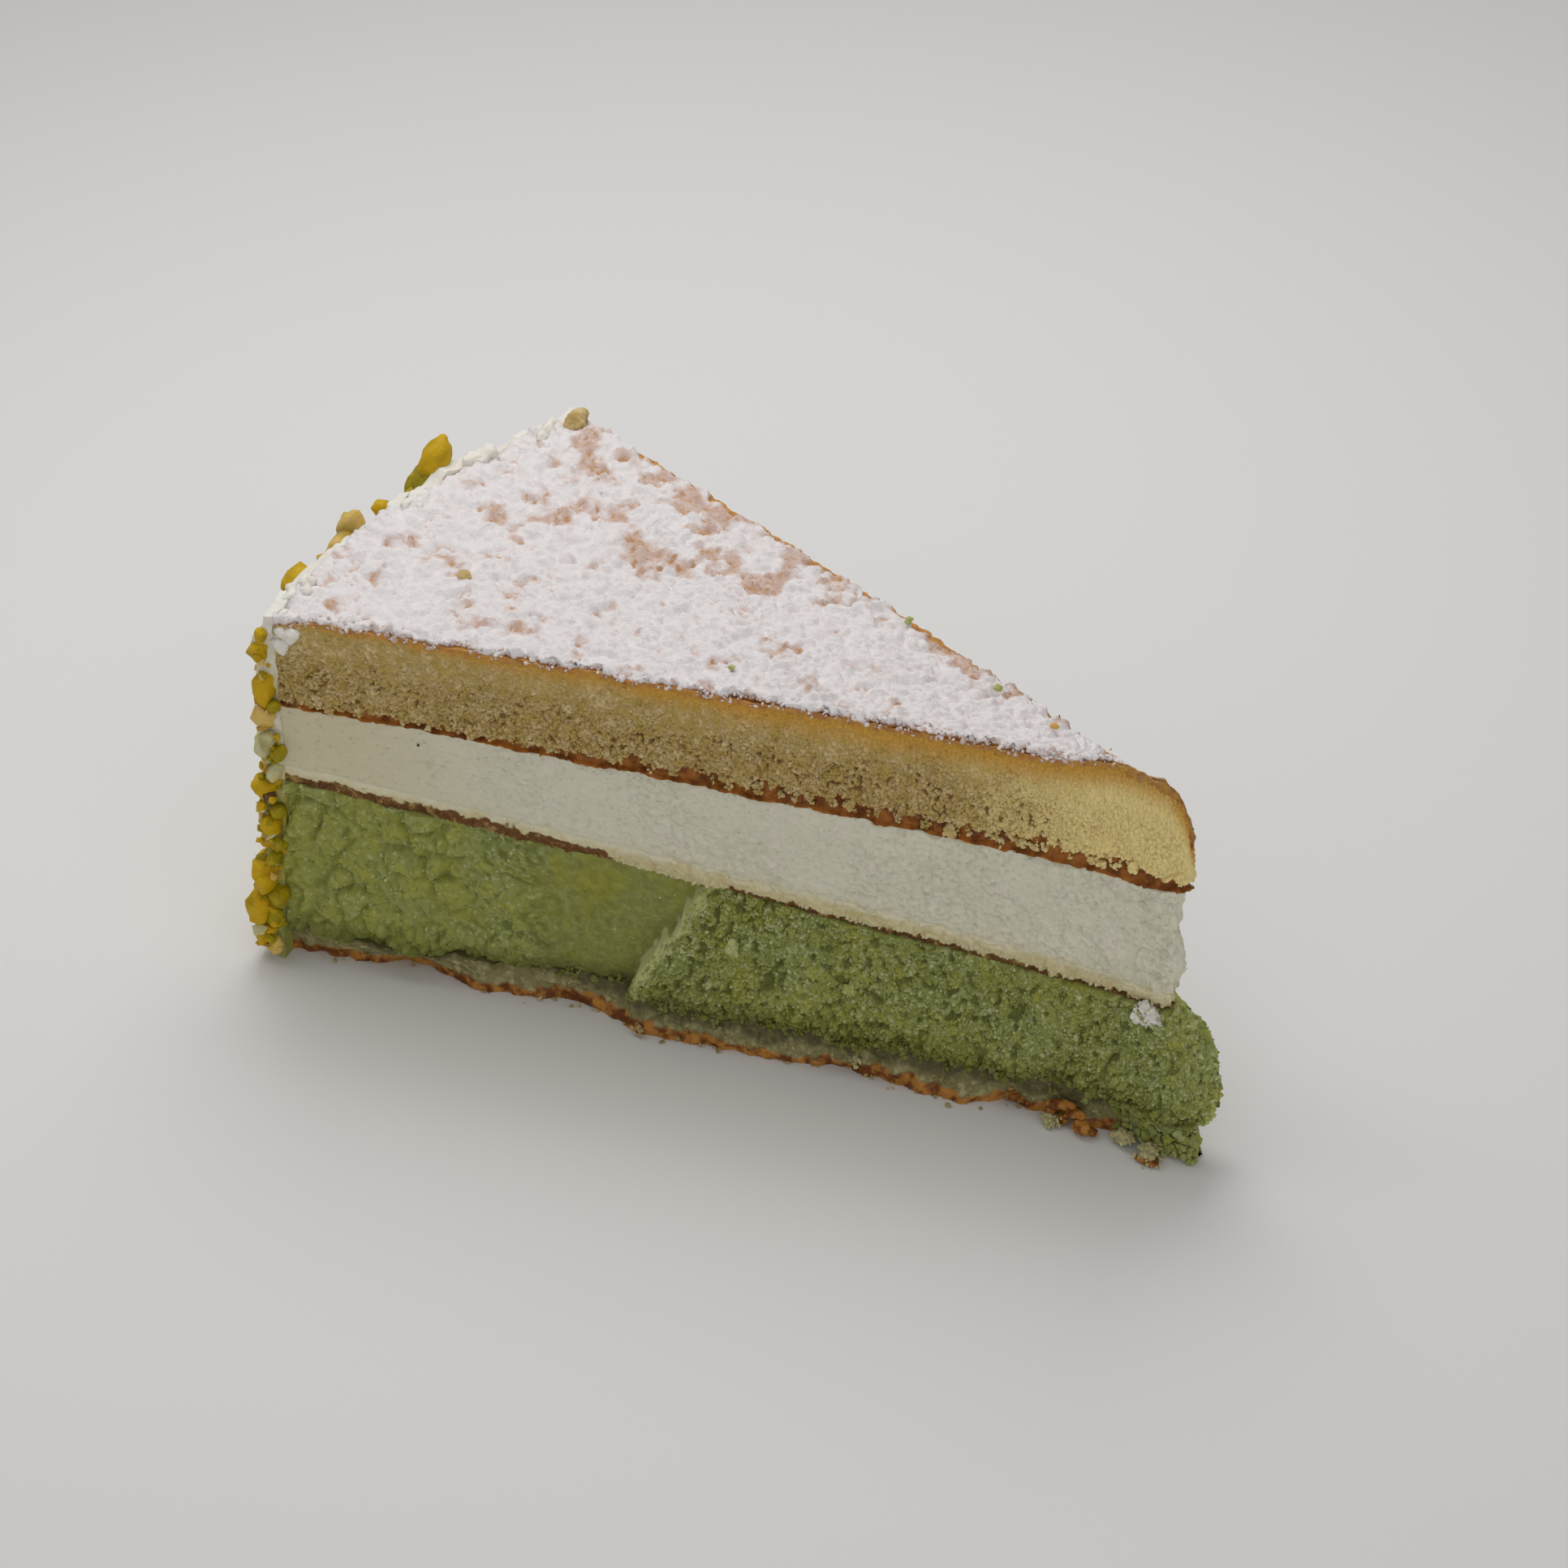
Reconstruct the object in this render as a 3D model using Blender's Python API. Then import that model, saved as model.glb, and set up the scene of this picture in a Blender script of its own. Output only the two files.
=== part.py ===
"""A slice of a layered ricotta and pistachio cake.

The cake is about 24 cm across and 54 mm tall, and the slice is about a twelfth of it. From the floor up
it has a thin moist sponge base, a thick pistachio cream, a thin sponge disc, a ricotta cream and a thick
sponge with a browned top. The round end keeps the cake's coat of cream, with chopped pistachios in it.

Units are metres, with +Z up. The slice lies along X, its point towards +X and its coated rim towards -X.
The origin is on the floor, in the middle of the whole slice.

Each layer starts as a block cut into a grid. The block is bent to the shape of the slice, and the relief
of the cut is then pressed into its sides. Places on a layer are given by the distance from the apex,
where the two cuts would meet, by the side (-1 for the front cut, 1 for the back cut) and by the height.
"""

import math
import random

import bmesh
import bpy
from mathutils import Euler, Matrix, Vector, noise

MM = 0.001

# The cake and the cut
CAKE_RADIUS = 119.5 * MM
HALF_ANGLE = math.radians(15.35)
APEX = Vector((60.0 * MM, 1.2 * MM, 0))
RIM_FLARE = 2.4 * MM  # how much further out the foot of the rim is
RIM_FLARE_HEIGHT = 34 * MM
LAYER_GAP = 0.3 * MM

# Heights of the surfaces between the layers, in mm, at the rim, halfway and at the apex
SURFACES = {
    "floor": (0.0, 0.0, 0.0),
    "base_top": (4.8, 5.6, 6.0),
    "pistachio_top": (28.4, 24.9, 20.9),
    "disc_top": (31.0, 27.9, 24.0),
    "ricotta_top": (40.4, 40.1, 38.7),
    "sponge_top": (53.4, 54.0, 54.0),
}
SURFACE_WAVE = 0.35 * MM
SURFACE_WAVE_LENGTH = 22 * MM

# The rounded point of a layer: its end is cut off flat this far in, and its swelling fades over POINT_FADE
POINT_START = 0.3 * MM
POINT_FADE = 4 * MM
REACH_FADE = 14 * MM
STATION_SPREAD = 0.55  # the first station is this share of an even one, the last is longer by as much

# The top sponge's crust bends down at the point, behind a low swelling of its front edge
CRUST_DROP = 8.0 * MM
CRUST_DROP_LENGTH = 3.6 * MM
FRONT_SWELL = 1.3 * MM
FRONT_SWELL_PLACE = 8.5 * MM  # from the point
FRONT_SWELL_LENGTH = 4.5 * MM
# The crust's back edge has sunk, most at the point
BACK_SINK = 4.4 * MM
BACK_SINK_LENGTH = 36 * MM
CRUST_LUMP = 0.45 * MM
CRUST_LUMP_LENGTH = 9 * MM

# Bumps of each cut, coarse to fine, as how far they stand out and how long they are, in mm
BUMPS = {
    "base_sponge": ((0.9, 9), (0.7, 4)),
    "pistachio_cream": ((0.9, 8), (0.8, 4.6)),
    "sponge_disc": ((0.45, 4),),
    "ricotta_cream": ((0.3, 7),),
    "top_sponge": ((0.5, 6), (0.35, 3)),
}
# The dark skin under the top sponge is drawn back, and the crumb above it hangs over
SKIN_HEIGHT = 1.7 * MM
SKIN_DEPTH = 1.2 * MM
SKIN_DEPTH_AT_RIM = 0.6 * MM
OVERHANG = 0.7 * MM
OVERHANG_HEIGHT = 4 * MM
RICOTTA_SET_BACK = 0.3 * MM
RAGGED_POINT = 14 * MM  # the ricotta is crumbly this far from the apex
RAGGED_BUMPS = ((0.9, 4),)
FOOT_DEPTH = 1.3 * MM  # the foot of the pistachio cream draws in
FOOT_HEIGHT = 7.5 * MM
BASE_SET_BACK = 1.7 * MM

# The nose of the pistachio cream at the point: how far it reaches past the apex, and at what height
NOSE_REACH = 6.6 * MM
NOSE_HEIGHT = 10.5 * MM
NOSE_HALF_HEIGHT = 11.4 * MM

# The hollow where the pistachio cream broke away on the front cut
HOLLOW_DEPTH = 3.6 * MM
HOLLOW_DEPTH_AT_TOP = 0.45  # share of it
HOLLOW_FAR = 98 * MM
HOLLOW_EDGE = 1.8 * MM
RIDGE_TOP = Vector((60.6 * MM, 22.8 * MM))  # distance from the apex, height
RIDGE_FOOT = Vector((70.2 * MM, 5.9 * MM))
RIDGE_SPREAD = 26 * MM  # the grid slants along with the ridge this far to each side of it

# The coat on the rim
COAT_GAP = 0.3 * MM
COAT_THICKNESS = 2.5 * MM
COAT_TOP_THICKNESS = 1.2 * MM
COAT_ROUNDING = 4 * MM
COAT_LUMP = 0.7 * MM
COAT_LUMP_LENGTH = 9 * MM
COAT_TOP = 52.8 * MM
COAT_TOP_LUMP = 1.2 * MM
COAT_COLUMNS = 20
COAT_ROWS = 11

# Chopped pistachios in the coat
NUT_SEED = 11
NUT_ROW_STEP = 5.6 * MM
NUT_COLUMN_STEP = 5.8 * MM
NUT_LOWEST = 3.4 * MM
NUT_HIGHEST = 51 * MM
NUT_KEPT = 0.86  # share of the places that hold a nut
NUT_RADIUS = (1.7 * MM, 2.9 * MM)
NUT_SHAPE = (0.8, 1.2, 0.85)  # depth, length and width against the radius
NUT_CHIPPING = (0.78, 1.12)
NUT_FLOOR = 0.3 * MM
NUT_DEPTH = 0.4 * MM  # how far a nut's back stays off the layers
# The nuts that stand out at the upper edge and down the front corner: degrees round from the middle of
# the rim towards the back cut, height and radius in mm
KERNELS = (
    (4.7, 54.6, 3.2),
    (3.7, 51.2, 2.8),
    (1.4, 51.6, 1.9),
    (-1.0, 52.9, 1.9),
    (-3.4, 51.8, 3.4),
    (-7.1, 51.6, 1.6),
    (-9.8, 51.6, 2.8),
    (-14.8, 47.0, 2.3),
    (-14.0, 42.3, 2.2),
    (-13.8, 37.3, 2.6),
    (-15.0, 33.6, 2.6),
    (-14.3, 29.2, 2.5),
    (-14.4, 18.6, 2.4),
    (-15.3, 14.2, 2.6),
    (-15.4, 8.2, 3.0),
    (-14.8, 3.8, 2.6),
)
KERNEL_ROOM = 2.6 * MM  # scattered nuts keep this far from a kernel's middle


def smooth_step(value):
    value = min(1.0, max(0.0, value))
    return value * value * (3 - 2 * value)


def ripple(place, length, seed):
    """Soft noise from -1 to 1 that repeats over about the given length."""
    return noise.noise(place / length + Vector((seed * 7.31, seed * 3.17, seed * 5.93)))


def surface_height(name, from_apex, across):
    """Height of a surface between two layers, a curve through its three heights with a gentle wave."""
    rim, halfway, apex = (value * MM for value in SURFACES[name])
    share = min(1.0, max(0.0, from_apex / CAKE_RADIUS))
    bow = 4 * (halfway - (rim + apex) / 2)
    height = apex + (rim - apex) * share + bow * share * (1 - share)
    if name in ("floor", "sponge_top"):
        return height
    seed = list(SURFACES).index(name)
    place = Vector((from_apex, across, 0.0))
    return height + SURFACE_WAVE * ripple(place, SURFACE_WAVE_LENGTH, seed)


def rim_radius(height):
    """The cake flares a little towards its foot."""
    return CAKE_RADIUS + RIM_FLARE * (1 - smooth_step(height / RIM_FLARE_HEIGHT))


def half_width(length, reach, radius):
    """Half the width of a layer at a length from its rounded point, which reaches past the apex."""
    straight = math.tan(HALF_ANGLE) * (length - reach + reach * math.exp(-length / REACH_FADE))
    swelling = 2 * radius * length * math.exp(-length / POINT_FADE)
    return math.sqrt(max(straight, 0.0) ** 2 + swelling)


def bumps(pairs, place, seed):
    """The sum of some bumps, each given by how far it stands out and how long it is."""
    return sum(
        height * MM * ripple(place, length * MM, seed + number)
        for number, (height, length) in enumerate(pairs)
    )


# Reliefs: how far the cut stands out (+) or in (-) at a place, on the front (-1) or back (1) side


def sponge_cut(side, from_apex, place):
    """Open crumb, with the thin brown skin under it drawn back behind a crumbling edge."""
    above_skin = place.z - surface_height("ricotta_top", from_apex, 0.0)
    near_rim = smooth_step((from_apex - 80 * MM) / (10 * MM))
    skin_depth = SKIN_DEPTH + (SKIN_DEPTH_AT_RIM - SKIN_DEPTH) * near_rim
    skin = 1 - smooth_step(above_skin / SKIN_HEIGHT - 0.5)
    overhang = OVERHANG * smooth_step(1 - abs(above_skin / OVERHANG_HEIGHT - 1))
    return bumps(BUMPS["top_sponge"], place, 10 + side) + overhang - skin_depth * skin


def ricotta_cut(side, from_apex, place):
    """Nearly flat where the knife smeared it, with crumbly steps near the point."""
    along_smear = Vector((place.x / 2, place.y / 2, place.z))
    ragged = 1 - smooth_step(from_apex / RAGGED_POINT)
    smear = bumps(BUMPS["ricotta_cream"], along_smear, 20 + side)
    return smear + ragged * bumps(RAGGED_BUMPS, place, 23 + side) - RICOTTA_SET_BACK


def disc_cut(side, from_apex, place):
    """The ragged edge of the thin sponge disc."""
    return bumps(BUMPS["sponge_disc"], place, 30 + side)


def broken_hollow(from_apex, height):
    """How deep the broken hollow is. It starts behind a slanting ridge and fades out towards the rim."""
    share = (RIDGE_TOP.y - height) / (RIDGE_TOP.y - RIDGE_FOOT.y)
    ridge = RIDGE_TOP.x + (RIDGE_FOOT.x - RIDGE_TOP.x) * share
    behind = from_apex - ridge
    if behind <= 0 or from_apex >= HOLLOW_FAR:
        return 0.0
    fade = 1 - behind / (HOLLOW_FAR - ridge)
    lower = HOLLOW_DEPTH_AT_TOP + (1 - HOLLOW_DEPTH_AT_TOP) * smooth_step(share)
    return HOLLOW_DEPTH * lower * smooth_step(behind / HOLLOW_EDGE) * fade**0.7


def along_ridge(from_apex, height):
    """How far the grid of the pistachio cream shifts to run along the ridge."""
    middle = (RIDGE_TOP + RIDGE_FOOT) / 2
    slope = (RIDGE_FOOT.x - RIDGE_TOP.x) / (RIDGE_TOP.y - RIDGE_FOOT.y)
    near = smooth_step(1 - abs(from_apex - middle.x) / RIDGE_SPREAD)
    return slope * (middle.y - height) * near


def pistachio_cut(side, from_apex, place):
    """Rough broken cream: coarse crags, the calmer hollow on the front and a drawn-in foot."""
    crags = bumps(BUMPS["pistachio_cream"], place, 40 + side)
    foot = FOOT_DEPTH * (1 - smooth_step(2 * place.z / FOOT_HEIGHT - 1))
    hollow = broken_hollow(from_apex, place.z) if side < 0 else 0.0
    calm = 1 - 0.6 * hollow / HOLLOW_DEPTH
    return crags * calm - foot - hollow


def base_cut(side, from_apex, place):
    """The soft base, drawn in under the cream and torn along its lower edge."""
    hollow = broken_hollow(from_apex, RIDGE_FOOT.y) if side < 0 else 0.0
    return bumps(BUMPS["base_sponge"], place, 50 + side) - BASE_SET_BACK - 0.8 * hollow


# Reaches: how far a layer's point lies past the apex at a height


def steady_reach(reach):
    return lambda height: reach


def nose_reach(height):
    """The pistachio cream swells forward as a rounded nose."""
    return NOSE_REACH * (1 - ((height - NOSE_HEIGHT) / NOSE_HALF_HEIGHT) ** 2)


class Layer:
    """One layer of the slice: its surfaces, its rounded point, the relief of its cut and its grid."""

    def __init__(self, name, below, above, reach, point_radius, relief, grid, rows, colour, roughness):
        self.name, self.below, self.above = name, below, above
        self.reach, self.point_radius, self.relief = reach, point_radius, relief
        self.columns, self.across = grid
        self.rows, self.colour, self.roughness = rows, colour, roughness


LAYERS = (
    Layer("base_sponge", "floor", "base_top", steady_reach(5.6 * MM), 2.6 * MM, base_cut,
          (42, 4), (0, 0.5, 1), (0.36, 0.30, 0.14), 0.85),
    Layer("pistachio_cream", "base_top", "pistachio_top", nose_reach, 4.2 * MM, pistachio_cut,
          (56, 4), (0, 0.08, 0.18, 0.3, 0.44, 0.58, 0.72, 0.86, 1), (0.20, 0.27, 0.08), 0.8),
    Layer("sponge_disc", "pistachio_top", "disc_top", steady_reach(0.4 * MM), 1.5 * MM, disc_cut,
          (42, 4), (0, 0.5, 1), (0.60, 0.48, 0.24), 0.85),
    Layer("ricotta_cream", "disc_top", "ricotta_top", steady_reach(0.8 * MM), 1.8 * MM, ricotta_cut,
          (42, 4), (0, 0.25, 0.5, 0.75, 1), (0.78, 0.78, 0.70), 0.55),
    Layer("top_sponge", "ricotta_top", "sponge_top", steady_reach(1.8 * MM), 0.9 * MM, sponge_cut,
          (48, 8), (0, 0.13, 0.27, 0.5, 0.76, 1), (0.72, 0.52, 0.24), 0.85),
)


def unit_block(columns, across, rows):
    """A closed block from 0 to 1 along X, -1 to 1 across Y and 0 to 1 up Z, its rows at the given
    shares of its height."""
    block = bmesh.new()
    bmesh.ops.create_grid(block, x_segments=columns, y_segments=across, size=1.0)
    bmesh.ops.translate(block, verts=block.verts, vec=(1, 0, 0))
    bmesh.ops.scale(block, verts=block.verts, vec=(0.5, 1, 1))
    raised = bmesh.ops.extrude_face_region(block, geom=block.faces[:])["geom"]
    lifted = [item for item in raised if isinstance(item, bmesh.types.BMVert)]
    bmesh.ops.translate(block, verts=lifted, vec=(0, 0, 1))
    upright = [edge for edge in block.edges if abs(edge.verts[0].co.z - edge.verts[1].co.z) > 0.5]
    bmesh.ops.subdivide_edges(block, edges=upright, cuts=len(rows) - 2, use_grid_fill=True)
    for vertex in block.verts:
        vertex.co.z = rows[round(vertex.co.z * (len(rows) - 1))]
    bmesh.ops.recalc_face_normals(block, faces=block.faces)
    return block


def even_to_spread(share):
    """Stations close together at the point and further apart at the rim."""
    return share * (STATION_SPREAD + (1 - STATION_SPREAD) * share)


def crust_drop(length, side):
    """How far the top crust has bent down at a length from the point and a place across, from -1 at the
    front cut to 1 at the back cut."""
    bend = max(0.0, 1 - length / CRUST_DROP_LENGTH)
    bent = CRUST_DROP * (1 - math.sqrt(1 - min(bend, 1.0) ** 2))
    swell = FRONT_SWELL * math.exp(-(((length - FRONT_SWELL_PLACE) / FRONT_SWELL_LENGTH) ** 2))
    sink = BACK_SINK * math.exp(-length / BACK_SINK_LENGTH)
    return bent - swell * (1 - side) / 2 + sink * (1 + side) / 2


def place_in_layer(layer, along, side, up):
    """Where a point of the unit block goes in the slice, with the relief of the cut."""
    share = even_to_spread(along)
    inner = share * CAKE_RADIUS
    across = side * inner * math.tan(HALF_ANGLE)
    low = 0.0 if layer.below == "floor" else surface_height(layer.below, inner, across) + LAYER_GAP / 2
    high = surface_height(layer.above, inner, across) - LAYER_GAP / 2
    height = low + up * (high - low)
    radius = rim_radius(height)
    rim = math.sqrt(radius**2 - (side * radius * math.sin(HALF_ANGLE)) ** 2)
    reach = layer.reach(height)
    length = POINT_START + share * (rim + reach - POINT_START)
    if layer.relief is pistachio_cut and side < 0:
        length += along_ridge(length - reach, height)
    from_apex = length - reach
    width = half_width(length, reach, layer.point_radius)
    if layer.above == "sponge_top":
        height -= crust_drop(length, side) * up**3
    place = APEX + Vector((-from_apex, side * width, height))
    on_cut, on_end = abs(side) > 0.999, along < 0.001
    if on_cut:
        step = 0.2 * MM
        wider = half_width(length + step, reach, layer.point_radius) - width
        outward = Vector((wider, math.copysign(step, side), 0)).normalized()
        place += outward * layer.relief(math.copysign(1, side), from_apex, place)
    elif on_end:
        place.x += layer.relief(-1, from_apex, place)
    elif layer.above == "sponge_top" and up > 0.999:
        place.z += CRUST_LUMP * ripple(place, CRUST_LUMP_LENGTH, 15)
    return place


def material(name, colour, roughness):
    made = bpy.data.materials.new(name)
    made.use_nodes = True
    shader = made.node_tree.nodes["Principled BSDF"]
    shader.inputs["Base Color"].default_value = (*colour, 1.0)
    shader.inputs["Roughness"].default_value = roughness
    return made


def finished_object(name, shape, colour, roughness, collection):
    """Turns a bmesh into an object of the collection, shaded smooth between its sharper edges."""
    mesh = bpy.data.meshes.new(name)
    shape.to_mesh(mesh)
    shape.free()
    mesh.materials.append(material(name, colour, roughness))
    mesh.shade_smooth()
    mesh.set_sharp_from_angle(angle=math.radians(50))
    made = bpy.data.objects.new(name, mesh)
    collection.objects.link(made)
    return made


def build_layer(layer, collection):
    shape = unit_block(layer.columns, layer.across, layer.rows)
    for vertex in shape.verts:
        vertex.co = place_in_layer(layer, *vertex.co)
    bmesh.ops.reverse_faces(shape, faces=shape.faces)  # the block was mirrored, as it now runs towards -X
    return finished_object(layer.name, shape, layer.colour, layer.roughness, collection)


def rim_place(angle, radius, height):
    """A place on the rim, by its angle round from the middle of the rim and its distance from the apex."""
    return APEX + Vector((-radius * math.cos(angle), radius * math.sin(angle), height))


def build_coat(collection):
    """The bare coat of cream, a bent slab with a lumpy outer face and a rounded upper edge."""
    shape = unit_block(COAT_COLUMNS, 1, tuple(row / COAT_ROWS for row in range(COAT_ROWS + 1)))
    for vertex in shape.verts:
        turn, outer, up = vertex.co.x * 2 - 1, vertex.co.y > 0, vertex.co.z
        height = up * (COAT_TOP + COAT_TOP_LUMP * ripple(Vector((turn * 4, 0, 0)), 1, 18))
        angle, radius = turn * HALF_ANGLE, rim_radius(height) + COAT_GAP
        if outer:
            rounded = smooth_step(1 - (1 - up) * COAT_TOP / COAT_ROUNDING)
            radius += COAT_THICKNESS + (COAT_TOP_THICKNESS - COAT_THICKNESS) * rounded
            radius += COAT_LUMP * ripple(rim_place(angle, radius, height), COAT_LUMP_LENGTH, 17)
        vertex.co = rim_place(angle, radius, height)
    return finished_object("rim_coat", shape, (0.55, 0.52, 0.22), 0.6, collection)


def nut_places():
    """Angle, height and radius of every piece of nut: the kernels, then uneven rows over the coat."""
    draw = random.Random(NUT_SEED)
    places = [(math.radians(angle), height * MM, radius * MM) for angle, height, radius in KERNELS]
    rows = round((NUT_HIGHEST - NUT_LOWEST) / NUT_ROW_STEP)
    columns = round(2 * HALF_ANGLE * CAKE_RADIUS / NUT_COLUMN_STEP)
    for row in range(rows + 1):
        for column in range(columns):
            shift = draw.uniform(-0.32, 0.32) + (0.25 if row % 2 else -0.25)
            angle = HALF_ANGLE * (2 * (column + 0.5 + shift) / columns - 1)
            height = NUT_LOWEST + NUT_ROW_STEP * (row + draw.uniform(-0.3, 0.3))
            radius = draw.uniform(*NUT_RADIUS)
            apart = min(
                math.hypot((angle - math.radians(taken)) * CAKE_RADIUS, height - level * MM)
                for taken, level, _ in KERNELS
            )
            if draw.random() < NUT_KEPT and apart > KERNEL_ROOM:
                places.append((angle, max(height, radius + 0.6 * MM), radius))
    return places


def build_nut(number, angle, height, radius, draw, collection):
    """One angular chip of pistachio, flatter towards the coat than along it."""
    shape = bmesh.new()
    bmesh.ops.create_icosphere(shape, subdivisions=1, radius=radius)
    turn = Euler([draw.uniform(0, math.tau) for _ in range(3)]).to_matrix()
    bmesh.ops.rotate(shape, verts=shape.verts, matrix=turn)
    facing = Matrix.Rotation(-angle, 3, "Z") @ Matrix.Rotation(draw.uniform(0, math.tau), 3, "X")
    middle = rim_place(angle, rim_radius(height) + COAT_GAP + NUT_DEPTH + NUT_SHAPE[0] * radius, height)
    for vertex in shape.verts:
        chipped = vertex.co * Vector(NUT_SHAPE) * draw.uniform(*NUT_CHIPPING)
        vertex.co = middle + facing @ chipped
        vertex.co.z = max(vertex.co.z, NUT_FLOOR)
    return finished_object(f"nut_{number}", shape, (0.42, 0.38, 0.05), 0.6, collection)


def fuse_nuts(coat, nuts):
    """Joins the nuts to the coat as one solid, then removes the loose ones."""
    union = coat.modifiers.new("nuts pressed in", "BOOLEAN")
    union.operation, union.operand_type = "UNION", "COLLECTION"
    union.collection, union.solver = nuts, "MANIFOLD"
    bpy.context.view_layer.update()
    evaluated = coat.evaluated_get(bpy.context.evaluated_depsgraph_get())
    mesh = bpy.data.meshes.new_from_object(evaluated)
    coat.modifiers.clear()
    coat.data = mesh
    for nut in list(nuts.objects):
        bpy.data.objects.remove(nut)
    bpy.data.collections.remove(nuts)


def build_rim(collection):
    nuts = bpy.data.collections.new("chopped pistachios")
    bpy.context.scene.collection.children.link(nuts)
    coat = build_coat(collection)
    draw = random.Random(NUT_SEED + 1)
    for number, place in enumerate(nut_places()):
        build_nut(number, *place, draw, nuts)
    fuse_nuts(coat, nuts)


def clear_scene():
    for old in list(bpy.data.objects):
        bpy.data.objects.remove(old)


def main():
    clear_scene()
    cake_slice = bpy.data.collections.new("ricotta and pistachio cake slice")
    bpy.context.scene.collection.children.link(cake_slice)
    for layer in LAYERS:
        build_layer(layer, cake_slice)
    build_rim(cake_slice)


main()
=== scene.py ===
"""The looks of a slice of layered ricotta and pistachio cake.

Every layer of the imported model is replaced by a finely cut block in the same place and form, with the
crumb, grains, smears and tears of its cut as geometry. The crust carries its icing sugar as real mounds,
and the rim has its cream and its chopped pistachios. Crumbs lie where they fell.

Units are metres. The slice lies along X, its point towards +X and its rim towards -X. Places on a layer
are given by the distance from the apex, where the two cuts would meet, by the side (-1 for the front
cut, 1 for the back cut) and by the height.
"""

import math
import random
from collections import namedtuple

import bmesh
import bpy
from bpy.props import FloatProperty, FloatVectorProperty, IntProperty, PointerProperty
from mathutils import Euler, Matrix, Vector, noise


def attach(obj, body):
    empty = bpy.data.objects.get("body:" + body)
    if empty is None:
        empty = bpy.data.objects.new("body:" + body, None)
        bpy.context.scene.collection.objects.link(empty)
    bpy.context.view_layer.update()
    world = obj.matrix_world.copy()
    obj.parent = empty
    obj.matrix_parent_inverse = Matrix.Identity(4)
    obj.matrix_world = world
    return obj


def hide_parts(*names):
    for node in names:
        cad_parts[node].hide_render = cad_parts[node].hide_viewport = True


bl_info = {
    "name": "Ricotta and pistachio cake slice",
    "version": (1, 0, 0),
    "blender": (4, 5, 0),
    "location": "3D View > Sidebar > Cake slice",
    "description": "Dresses a slice of layered ricotta and pistachio cake",
    "category": "Object",
}

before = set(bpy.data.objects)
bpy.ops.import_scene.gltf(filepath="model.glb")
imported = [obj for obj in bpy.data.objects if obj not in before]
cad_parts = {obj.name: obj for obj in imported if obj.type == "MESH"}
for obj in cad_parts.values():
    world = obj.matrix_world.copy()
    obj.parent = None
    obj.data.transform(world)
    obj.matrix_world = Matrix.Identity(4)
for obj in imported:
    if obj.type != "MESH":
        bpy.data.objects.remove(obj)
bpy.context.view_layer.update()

MM = 0.001
NOISE_SEED = 7
noise.seed_set(NOISE_SEED)  # without a seed the vector noise would differ from run to run

# The cake and the cut, as in the solids
CAKE_RADIUS = 119.5 * MM
HALF_ANGLE = math.radians(15.35)
APEX = Vector((60.0 * MM, 1.2 * MM, 0))
RIM_FLARE = 2.4 * MM
RIM_FLARE_HEIGHT = 34 * MM
LAYER_OVERLAP = 0.05 * MM  # hides the seam between two layers on the cuts

# Heights of the surfaces between the layers, in mm, at the rim, halfway and at the apex
SURFACES = {
    "floor": (0.0, 0.0, 0.0),
    "base_top": (4.4, 4.9, 5.4),
    "pistachio_top": (28.4, 24.9, 20.9),
    "disc_top": (31.0, 27.9, 24.0),
    "ricotta_top": (40.4, 40.1, 38.7),
    "sponge_top": (53.4, 54.0, 54.0),
}
SURFACE_WAVE = 0.35 * MM
SURFACE_WAVE_LENGTH = 22 * MM
EDGE_WAVE = 0.22 * MM  # the fine waviness of a layer's edge on the cut
EDGE_WAVE_LENGTH = 2.6 * MM
BASE_EDGE_WAVE = 0.748 * MM  # the same on top of the base, where the cream is torn

# How the layers are rounded at the point, and how their stations spread from the point to the rim
POINT_START = 0.3 * MM
POINT_FADE = 4 * MM
REACH_FADE = 14 * MM
STATION_SPREAD = 0.55
# The crust bends down at the point, swells behind it on the front and sinks along the back cut
CRUST_DROP = 8.0 * MM
CRUST_DROP_LENGTH = 3.6 * MM
FRONT_SWELL = 1.3 * MM
FRONT_SWELL_PLACE = 8.5 * MM
FRONT_SWELL_LENGTH = 4.5 * MM
BACK_SINK = 4.4 * MM
BACK_SINK_LENGTH = 36 * MM
CORNER_DROP = 2.0 * MM  # of the crust, at the front end of the rim
CORNER_START = 107 * MM
CORNER_LENGTH = 12 * MM
CORNER_WIDTH = 0.45  # of half the slice
CRUST_LUMP = 0.45 * MM
CRUST_LUMP_LENGTH = 9 * MM

# Coarse bumps of each cut, as how far they stand out and how long they are, in mm
BUMPS = {
    "base_sponge": ((0.9, 9), (0.7, 4)),
    "pistachio_cream": ((0.9, 8), (0.8, 4.6)),
    "sponge_disc": ((0.45, 4),),
    "ricotta_cream": ((0.3, 7),),
    "top_sponge": ((0.5, 6), (0.35, 3)),
}
# The dark skin under the top sponge shows up to this height near the apex, and less towards the rim
SKIN_EDGE = 2.75 * MM
SKIN_EDGE_SLOPE = 0.014
SKIN_EDGE_DROP = 1.4 * MM  # right at the point
SKIN_DEPTH = 0.7 * MM
OVERHANG = 0.75 * MM
OVERHANG_HEIGHT = 4.5 * MM
RICOTTA_SET_BACK = 0.3 * MM
RAGGED_POINT = 14 * MM
RAGGED_BUMPS = ((0.9, 4),)
# The foot of the pistachio cream is drawn in, and the base further
FOOT_DEPTH = 1.3 * MM
FOOT_HEIGHT = 7.5 * MM
BASE_SET_BACK = 1.7 * MM
BASE_SKIN_EDGE = 1.4 * MM
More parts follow.
